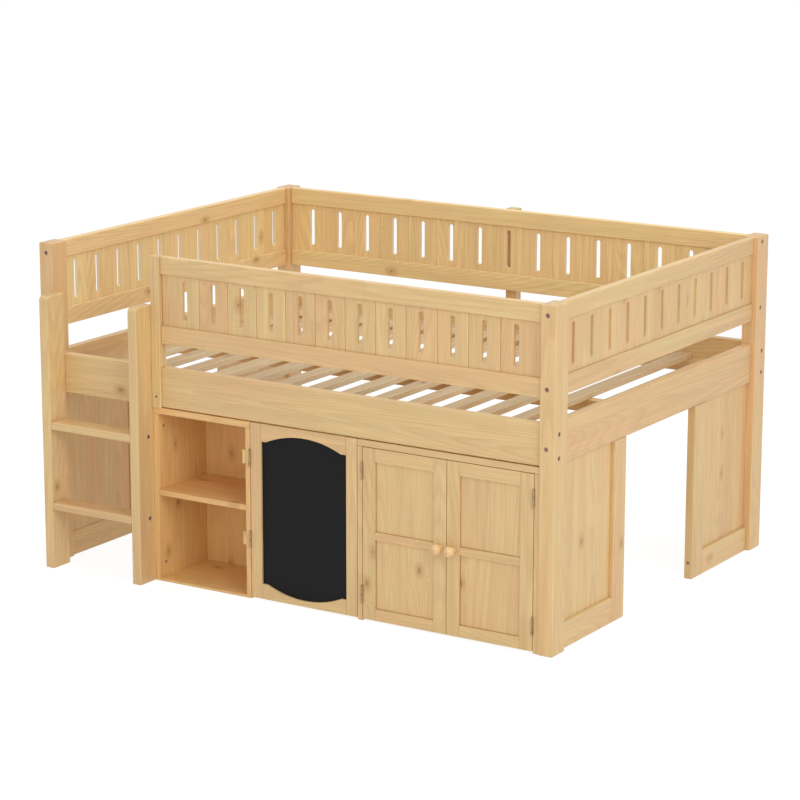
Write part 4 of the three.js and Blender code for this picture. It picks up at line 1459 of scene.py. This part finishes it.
@dataclass(frozen=True)
class HingeWork:
    """Places and makes butt hinges with five knuckles, and the mortises for their leaves."""

    axis_setback: float = 0.0038
    half_gap: float = 0.001
    wardrobe_heights: tuple = (0.090, 0.500)
    board_heights: tuple = (0.204, 0.480)
    height: float = 0.060
    radius: float = 0.0035
    pin_radius: float = 0.0016
    knuckles: int = 5
    knuckle_gap: float = 0.0004
    knuckle_sides: int = 28
    pin_sides: int = 16
    leaf_width: float = 0.018
    leaf_thickness: float = 0.0012
    leaf_inner: float = 0.0004
    easing: float = 0.0003
    screw_radius: float = 0.0026
    screw_rise: float = 0.00015
    screw_sides: int = 20
    cross_share: float = 0.45
    cross_sides: int = 4
    screw_shares: tuple = (-0.34, 0.0, 0.34)

    def of(self, door: str) -> list:
        """Places the hinges of a door.

        Args:
            door: board_door, left_door or right_door.

        Returns:
            Its hinges.
        """
        shelf, wardrobe = Span.of("shelf_top"), Span.of("wardrobe_top")
        inset = wardrobe.size.z + self.half_gap
        axis_x, heights, sense = {
            "board_door": (shelf.high.x + self.half_gap, self.board_heights, 1),
            "left_door": (wardrobe.low.x + inset, self.wardrobe_heights, 1),
            "right_door": (wardrobe.high.x - inset, self.wardrobe_heights, -1),
        }[door]
        return [Hinge(axis_x, shelf.low.y - self.axis_setback, height, sense) for height in heights]

    def plate(self, hinge: Hinge, on_door: bool, clearance: float = 0.0) -> Span:
        """Finds the box of a leaf, or with a clearance that of its mortise.

        Args:
            hinge: The leaf's hinge.
            on_door: Whether it is the leaf on the door.
            clearance: How much wider than the leaf the mortise is.

        Returns:
            The box.
        """
        sense = hinge.sense if on_door else -hinge.sense
        reaches = self.leaf_inner, self.leaf_inner + self.leaf_thickness
        left, right = sorted(hinge.axis_x + sense * reach for reach in reaches)
        start = hinge.axis_y + self.radius + SEAT
        half = self.height / 2 + clearance
        return Span.between(
            (left - clearance, right + clearance),
            (start - (OVERRUN if clearance else 0.0), start + self.leaf_width + clearance),
            (hinge.centre - half, hinge.centre + half))

    def mortise(self, piece: Piece, hinges: Iterable[Hinge], on_door: bool) -> Piece:
        """Lets the leaves of hinges into a piece."""
        plates = (self.plate(hinge, on_door, SEAT / 2) for hinge in hinges)
        return Workshop.cut(piece, *(Workshop.block("mortise", plate) for plate in plates))

    def leaf(self, name: str, hinge: Hinge, on_door: bool) -> Piece:
        """Makes one leaf with its knuckles, tabs and screws.

        Args:
            name: The leaf's name.
            hinge: The hinge that it belongs to.
            on_door: Whether it is the leaf on the door.

        Returns:
            The leaf; the one on the carcass has the pin.
        """
        span = self.plate(hinge, on_door)
        pieces = [Workshop.plank(name, span, self.easing, Flats.VEE)]
        bottom = Vector((hinge.axis_x, hinge.axis_y, hinge.centre - self.height / 2))
        pitch = self.height / self.knuckles
        for index in range(1 if on_door else 0, self.knuckles, 2):
            start = bottom + UP * (index * pitch + self.knuckle_gap / 2)
            run = UP * (pitch - self.knuckle_gap)
            knuckle = Workshop.rod(f"{name}_knuckle_{index}", start, run, self.radius, self.knuckle_sides)
            pieces.append(Workshop.ease(knuckle, self.easing))
            tab = span.with_side(Y, hinge.axis_y + self.pin_radius, span.low.y + SEAT)
            tab = tab.with_side(Z, start.z, start.z + run.z)
            pieces.append(Workshop.block(f"{name}_tab_{index}", tab))
        if not on_door:
            run = UP * self.height
            pieces.append(Workshop.rod(f"{name}_pin", bottom, run, self.pin_radius, self.pin_sides))
        sense = hinge.sense if on_door else -hinge.sense
        for share in self.screw_shares:
            zigzag = self.screw_radius * (1 if share else -1)
            centre = Vector((hinge.axis_x + sense * self.leaf_inner, span.centre.y + zigzag,
                             hinge.centre + share * self.height))
            pieces.append(self.screw(f"{name}_screw", centre, along(X, -sense * self.screw_rise)))
        for piece in pieces:
            Workshop.coat(piece, HINGE_STEEL)
        return Workshop.join(name, pieces)

    def screw(self, name: str, centre: Vector, rise: Vector) -> Piece:
        """Sets a low screw head with a cross on a leaf.

        Args:
            name: The screw's name.
            centre: Its middle, on the leaf's open face.
            rise: How far, and which way, it stands out.

        Returns:
            The screw head.
        """
        head = Workshop.rod(name, centre - rise, rise * 2, self.screw_radius, self.screw_sides)
        radius = self.screw_radius * self.cross_share
        cross = Workshop.rod("cross", centre, rise * 3, radius, self.cross_sides)
        return Workshop.cut(head, cross)

    def hang(self, door: str, body: Body) -> None:
        """Makes the leaves of a door and of the side that it hangs on.

        Args:
            door: The door's name.
            body: The body that the door is.
        """
        leaves = {kind: [self.leaf(f"{door}_{kind}_leaf_{index}", hinge, kind == "moving")
                         for index, hinge in enumerate(self.of(door))] for kind in ("fixed", "moving")}
        Workshop.deliver(f"{door}_fixed_leaves", leaves["fixed"], Body.BED, Slot.HINGES)
        Workshop.deliver(f"{door}_moving_leaves", leaves["moving"], body, Slot.HINGES)


HINGES = HingeWork()


@dataclass
class Carcass:
    """The open shelves and the wardrobe, of boards glued up from staves."""

    panel: float = 0.018
    rounding: float = 0.0012
    stave: float = 0.093
    top_rise: float = 0.0025
    block_thickness: float = 0.014
    block_height: float = 0.047
    block_depth: float = 0.030
    block_setback: float = 0.003
    fitting_setback: float = 0.034
    fitting_heights: tuple = (0.059, 0.532)

    def build(self) -> None:
        """Makes both units."""
        side = self.board("shelf_left_side", Span.of("shelf_left_side"), Grain.UPRIGHT_SIDE, Y)
        for node, door in (("shelf_partition", "board_door"), ("wardrobe_left_side", "left_door"),
                           ("wardrobe_right_side", "right_door")):
            self.hung_side(node, HINGES.of(door))
        for node in ("shelf_top", "shelf_middle", "shelf_floor", "wardrobe_top", "wardrobe_floor"):
            span = Span.of(node)
            rise = self.top_rise if node.endswith("top") else 0.0
            self.board(node, span.with_side(Z, high=span.high.z + rise), Grain.LENGTH_TOP, Y)
        for node in ("shelf_back", "wardrobe_back"):
            self.board(node, Span.of(node), Grain.UPRIGHT_FRONT, X)
        self.blocks()
        self.fittings(side)

    def board(
            self, node: str, span: Span, grain: Grain, across: int,
            hinges: Sequence[Hinge] = ()) -> Piece:
        """Makes one board of staves; the shelves are of a warmer pine than the wardrobe.

        Args:
            node: Its node.
            span: Its box.
            grain: How it is cut.
            across: The axis across its staves.
            hinges: The hinges that are let into it.

        Returns:
            The board.
        """
        piece = Workshop.plank(node + "_wood", span, self.rounding, Flats.FINE)
        HINGES.mortise(piece, hinges, False)
        Workshop.coat(piece, HONEY_PINE if node.startswith("shelf") else OILED_PINE, grain)
        Workshop.staves(piece, across, self.stave)
        Workshop.deliver(piece.name, [piece], Body.BED, Slot.STORAGE, node)
        return piece

    def hung_side(self, node: str, hinges: Sequence[Hinge]) -> None:
        """Makes an upright side that carries a door.

        Args:
            node: Its node.
            hinges: The door's hinges.
        """
        sense = hinges[0].sense
        face = hinges[0].axis_x - sense * HINGES.half_gap
        ends = sorted((face, face - sense * self.panel))
        span = Span.of(node).with_side(X, *ends).with_side(Y, low=Span.of("shelf_top").low.y)
        self.board(node, span, Grain.UPRIGHT_SIDE, Y, hinges)

    def blocks(self) -> None:
        """Glues the backing blocks behind the hinges of the blackboard door."""
        top = Span.of("shelf_top")
        right, front = top.high.x - self.panel - SEAT, top.low.y + self.block_setback
        half = self.block_height / 2
        made = []
        for index, hinge in enumerate(HINGES.of("board_door")):
            span = Span.between((right - self.block_thickness, right), (front, front + self.block_depth),
                                (hinge.centre - half, hinge.centre + half))
            piece = Workshop.plank(f"hinge_block_{index}", span, self.rounding, Flats.FINE)
            made.append(Workshop.coat(piece, HONEY_PINE, Grain.UPRIGHT_SIDE))
        Workshop.deliver("hinge_blocks", made, Body.BED, Slot.STORAGE)

    def fittings(self, side: Piece) -> None:
        """Sets the two joint fittings in the shelf unit's left side.

        Args:
            side: The left side.
        """
        span = Span.of("shelf_left_side")
        setback = span.low.y + self.fitting_setback
        bolts = [Bolt.on("right", span, (0, setback, z)) for z in self.fitting_heights]
        SHELF_FITTINGS.bore(side, bolts)
        SHELF_FITTINGS.heads("shelf_fittings", bolts)


@dataclass
class Door:
    """What every door has: a frame of stiles and rails, and hinges.

    Args:
        name: left_door, right_door or board_door.
        body: The body that it is.
    """

    name: str
    body: Body
    tongue: float = 0.0077
    thickness: float = 0.020
    rounding: float = 0.0012

    def member(self, name: str, span: Span) -> Piece:
        """Makes one stile or rail; each kind of door has a way of its own."""
        raise NotImplementedError

    def frame(self, members: dict) -> None:
        """Makes the members of the frame, lets in the hinges and joins them.

        Args:
            members: The box of each stile and rail.
        """
        hinges = HINGES.of(self.name)
        hung = "left_stile" if hinges[0].sense > 0 else "right_stile"
        made = []
        for member, span in members.items():
            piece = self.member(member, span)
            if member == hung:
                HINGES.mortise(piece, hinges, True)
            grain = Grain.UPRIGHT_FRONT if "stile" in member else Grain.LENGTH_FRONT
            made.append(Workshop.coat(piece, OILED_PINE, grain))
        Workshop.deliver(f"{self.name}_stiles_and_rails", made, self.body, Slot.DOORS, f"{self.name}_frame")


@dataclass
class PanelDoor(Door):
    """A framed wardrobe door with two recessed panels and a turned knob."""

    stile: float = 0.047
    recess: float = 0.007
    stave: float = 0.110
    quirk_width: float = 0.0010
    quirk_depth: float = 0.0025
    field_easing: float = 0.0005
    knob_sides: int = 48
    knob_steps: int = 12
    knob_tip: float = 0.0006
    neck_share: float = 0.45
    collar: tuple = ((0.0096, 0.0), (0.0102, 0.0008), (0.0102, 0.0034), (0.0096, 0.0044), (0.0084, 0.0052))

    def build(self) -> None:
        """Makes the frame, the panels, the knob and the hinges."""
        lower, upper = (Span.of(f"{self.name}_{level}_panel") for level in ("lower", "upper"))
        whole = Span.of(f"{self.name}_frame")
        left, right = lower.low.x + self.tongue, lower.high.x - self.tongue
        front = lower.low.y - self.recess
        bounds = Span.between((left - self.stile, right + self.stile), (front, front + self.thickness),
                              (whole.low.z, whole.high.z))
        rail = bounds.with_side(X, left + SEAT / 2, right - SEAT / 2)
        self.frame({
            "left_stile": bounds.with_side(X, high=left),
            "right_stile": bounds.with_side(X, low=right),
            "bottom_rail": rail.with_side(Z, high=lower.low.z + self.tongue),
            "middle_rail": rail.with_side(Z, lower.high.z - self.tongue, upper.low.z + self.tongue),
            "top_rail": rail.with_side(Z, low=upper.high.z - self.tongue),
        })
        self.panel("lower")
        self.panel("upper")
        self.knob(front)
        HINGES.hang(self.name, self.body)

    def member(self, name: str, span: Span) -> Piece:
        """Makes a stile or rail with the grooves that hold the panels."""
        piece = Workshop.plank(f"{self.name}_{name}", span, self.rounding, Flats.FINE)
        panels = (Span.of(f"{self.name}_{level}_panel") for level in ("lower", "upper"))
        grooves = (Workshop.block("groove", panel.grown(SEAT, SEAT, SEAT)) for panel in panels)
        return Workshop.cut(piece, *grooves)

    def panel(self, level: str) -> None:
        """Makes one panel of two staves, its field set off from the frame by a fine quirk.

        Args:
            level: lower or upper.
        """
        node = f"{self.name}_{level}_panel"
        span = Span.of(node)
        piece = Workshop.block(node + "_wood", span.with_side(Y, low=span.low.y + self.quirk_depth))
        Workshop.pick(piece, Element.FACE, lambda middle, normal: normal.y < -SQUARE_SHARE)
        bpy.ops.mesh.inset(thickness=self.tongue + self.quirk_width, depth=0.0)
        bpy.ops.mesh.extrude_region_move(TRANSFORM_OT_translate={"value": (0, -self.quirk_depth, 0)})
        bpy.ops.object.mode_set(mode="OBJECT")
        Workshop.coat(Workshop.ease(piece, self.field_easing), OILED_PINE)
        Workshop.staves(piece, X, self.stave)
        Workshop.deliver(piece.name, [piece], self.body, Slot.DOORS, node)

    def knob(self, front: float) -> None:
        """Turns the knob, with its collar, neck and ball.

        Args:
            front: Where the door's front face is.
        """
        node = f"{self.name}_knob"
        span = Span.of(node)
        ball, reach = span.size.x / 2, front - span.low.y
        open_angle = math.pi - math.asin(self.neck_share)
        profile = list(self.collar)
        for index in range(self.knob_steps + 1):
            angle = open_angle * (1 - index / self.knob_steps)
            radius = max(ball * math.sin(angle), self.knob_tip)
            profile.append((radius, reach - ball + ball * math.cos(angle)))
        base = Vector((span.centre.x, front - SEAT / 2, span.centre.z))
        piece = Workshop.turned(node + "_wood", base, along(Y, -1), profile, self.knob_sides)
        Workshop.coat(piece, KNOB_PINE, Grain.DEPTH_TOP)
        Workshop.deliver(piece.name, [piece], self.body, Slot.DOORS, node)


@dataclass
class BoardDoor(Door):
    """The blackboard door: two stiles and two arched rails round a black board."""

    rail_height: float = 0.057
    rail_drop: float = 0.006
    rise: float = 0.032
    shoulder: float = 0.020
    rebate: float = 0.008
    edge_rounding: float = 0.002
    arc_sides: int = 420
    top_rise: float = 0.0025

    def build(self) -> None:
        """Makes the frame, the board and the hinges."""
        board, whole = Span.of("blackboard"), Span.of("board_door_frame")
        left, right = board.low.x + self.tongue, board.high.x - self.tongue
        front = board.low.y - SEAT - self.rebate
        outer = HINGES.of(self.name)[0].axis_x + HINGES.half_gap
        bounds = Span.between((outer, right + (left - outer)), (front, front + self.thickness),
                              (whole.low.z, whole.high.z + self.top_rise))
        rail = bounds.with_side(X, left + SEAT / 2, right - SEAT / 2)
        self.frame({
            "left_stile": bounds.with_side(X, high=left),
            "right_stile": bounds.with_side(X, low=right),
            "bottom_rail": rail.with_side(Z, high=bounds.low.z + self.rail_height - self.rail_drop),
            "top_rail": rail.with_side(Z, low=whole.high.z - self.rail_height),
        })
        slab = Workshop.plank("blackboard_panel", board, self.rounding, Flats.VEE)
        Workshop.coat(slab, CHALKBOARD)
        Workshop.deliver(slab.name, [slab], self.body, Slot.BLACKBOARD, "blackboard")
        HINGES.hang(self.name, self.body)

    def member(self, name: str, span: Span) -> Piece:
        """Makes a stile or an arched rail, with the rebate for the board.

        Args:
            name: Which stile or rail it is.
            span: Its box.

        Returns:
            The stile or rail.
        """
        piece = Workshop.block(f"{self.name}_{name}", span)
        if "rail" in name:
            Workshop.cut(piece, self.arch(span, name == "top_rail"))
            Workshop.ease(piece, self.rounding)
        else:
            Workshop.ease(piece, self.edge_rounding)
        rebate = Span.of("blackboard").grown(SEAT, SEAT, SEAT).with_side(Y, high=span.high.y + OVERRUN)
        return Workshop.cut(piece, Workshop.block("rebate", rebate))

    def arch(self, rail: Span, upward: bool) -> Piece:
        """Makes the tool that cuts a rail's arch.

        Args:
            rail: The rail's box.
            upward: Whether the arch bends upward in the middle.

        Returns:
            A wide disc across the rail.
        """
        half = rail.size.x / 2 - self.shoulder
        radius = (half * half + self.rise * self.rise) / (2 * self.rise)
        centre = rail.low.z + self.rise - radius if upward else rail.high.z - self.rise + radius
        start = Vector((rail.centre.x, rail.low.y - OVERRUN, centre))
        return Workshop.rod("arc", start, along(Y, rail.size.y + 2 * OVERRUN), radius, self.arc_sides)


@dataclass(frozen=True)
class Lamp:
    """One square soft lamp.

    Args:
        name: The lamp's name.
        place: Where it hangs.
        size: The side of its square.
        power: Its power in watts.
    """

    name: str
    place: tuple
    size: float
    power: float

    def hang(self, aim: Vector) -> None:
        """Hangs the lamp and points it at a place."""
        data = bpy.data.lights.new(self.name, "AREA")
        data.shape, data.size, data.energy = "SQUARE", self.size, self.power
        lamp = bpy.data.objects.new(self.name, data)
        bpy.context.collection.objects.link(lamp)
        lamp.location = self.place
        lamp.rotation_euler = (aim - lamp.location).to_track_quat("-Z", "Y").to_euler()


@dataclass
class Studio:
    """The floor, the light and the camera."""

    azimuth: float = 32.432
    elevation: float = 13.3274
    roll: float = 0.0624
    focal_pixels: float = 2871.4
    image_width: int = 800
    sensor: float = 36.0
    distance: float = 9.8771
    view_end: float = 200.0
    target: tuple = (-0.0135, 0.0155, 0.5486)
    floor_reach: float = 40.0
    floor_drop: float = 0.0005
    floor_colour: tuple = (0.86, 0.86, 0.86, 1.0)
    floor_lift: float = 0.08
    floor_white: float = 0.80
    floor_glow: float = 1.12
    world_strength: float = 0.61
    backdrop: tuple = (1.0, 1.0, 1.0, 1.0)
    aim: tuple = (0.0, 0.0, 0.5)
    lamps: tuple = (
        Lamp("key_lamp", place=(5.5, -3.5, 4.0), size=3.5, power=140),
        Lamp("front_lamp", place=(0.5, -7.5, 2.6), size=4.0, power=40),
        Lamp("top_lamp", place=(0.0, 0.5, 6.0), size=4.0, power=100),
    )

    def build(self) -> None:
        """Sets up the whole studio."""
        self.camera()
        self.floor()
        self.world()
        for lamp in self.lamps:
            lamp.hang(Vector(self.aim))
        bpy.context.scene.view_settings.view_transform = "Standard"

    def camera(self) -> None:
        """Stands the camera where the photograph was taken from."""
        azimuth, elevation = math.radians(self.azimuth), math.radians(self.elevation)
        away = Vector((
            math.sin(azimuth) * math.cos(elevation), -math.cos(azimuth) * math.cos(elevation),
            math.sin(elevation)))
        data = bpy.data.cameras.new("photo_camera")
        data.sensor_width, data.clip_end = self.sensor, self.view_end
        data.lens = self.focal_pixels / self.image_width * self.sensor
        camera = bpy.data.objects.new("photo_camera", data)
        bpy.context.collection.objects.link(camera)
        camera.location = Vector(self.target) + away * self.distance
        facing = (-away).to_track_quat("-Z", "Y").to_matrix()
        camera.rotation_euler = (facing @ Matrix.Rotation(math.radians(self.roll), 3, "Z")).to_euler()
        bpy.context.scene.camera = camera

    def seen(self, bench: NodeBench, lighting: float, seen: float) -> Socket:
        """Returns one value for what the camera, a gloss or a glass sees, and another for what lights.

        Args:
            bench: Where the nodes are laid out.
            lighting: The value for what lights.
            seen: The value for what is seen.

        Returns:
            The value for each ray.
        """
        path = bench.add("ShaderNodeLightPath").outputs
        straight = bench.math("MAXIMUM", path["Is Camera Ray"], path["Is Glossy Ray"])
        share = bench.math("MAXIMUM", straight, path["Is Transmission Ray"])
        return bench.add("ShaderNodeMapRange", {0: share, 3: lighting, 4: seen}).outputs[0]

    def floor(self) -> None:
        """Lays a plain pale floor that keeps the bed's shadow."""
        bpy.ops.object.select_all(action="DESELECT")
        bpy.ops.mesh.primitive_plane_add(size=2 * self.floor_reach, location=(0, 0, -self.floor_drop))
        floor = Workshop.place("floor")
        material = bpy.data.materials.new("pale_floor")
        material.use_nodes = True
        bench = NodeBench(material.node_tree)
        matt = bench.add("ShaderNodeBsdfDiffuse", {"Color": self.floor_colour})
        glow = bench.add("ShaderNodeEmission", {"Color": self.backdrop, "Strength": self.floor_glow})
        share = self.seen(bench, self.floor_lift, self.floor_white)
        blend = bench.add("ShaderNodeMixShader", {0: share, 1: matt.outputs[0], 2: glow.outputs[0]})
        bench.add("ShaderNodeOutputMaterial", {"Surface": blend.outputs[0]})
        floor.data.materials.append(material)

    def world(self) -> None:
        """Surrounds the bed with soft white light."""
        world = bpy.data.worlds.new("studio_world")
        bpy.context.scene.world = world
        world.use_nodes = True
        bench = NodeBench(world.node_tree)
        strength = self.seen(bench, self.world_strength, 1.0)
        light = bench.add("ShaderNodeBackground", {"Color": self.backdrop, "Strength": strength})
        bench.add("ShaderNodeOutputWorld", {"Surface": light.outputs[0]})


def main() -> None:
    """Builds the bed, sub-assembly by sub-assembly, and the studio round it."""
    logging.basicConfig(level=logging.INFO, format="%(name)s %(message)s")
    Studio().build()
    CornerPosts().build()
    BedRails().build()
    SlatDeck().build()
    Guard("front", slots=12, margin=0.0944, top_rise=0.006).build()
    # The rear and left guards, seen from inside, get paler wood and paler slot walls: painted light over
    # the shade inside the bed
    Guard("rear", slots=15, margin=0.0917, top_rise=0.0075, finish=INNER_PAINTED_LIGHT_PINE, slot_finish=SIDE_PAINTED_LIGHT_PINE).build()
    Guard("left", slots=11, margin=0.070, top_rise=0.0075, finish=INNER_PAINTED_LIGHT_PINE, slot_finish=SIDE_PAINTED_LIGHT_PINE).build()
    Guard("right", slots=11, margin=0.070, top_rise=0.005).build()
    GuardPosts().build()
    for side in LEFT_AND_RIGHT:
        for end in FRONT_AND_REAR:
            EndPanel(side, end).build()
    Ladder().build()
    Carcass().build()
    PanelDoor("left_door", Body.LEFT_DOOR).build()
    PanelDoor("right_door", Body.RIGHT_DOOR).build()
    BoardDoor("board_door", Body.BOARD_DOOR).build()


if __name__ == "__main__":
    main()
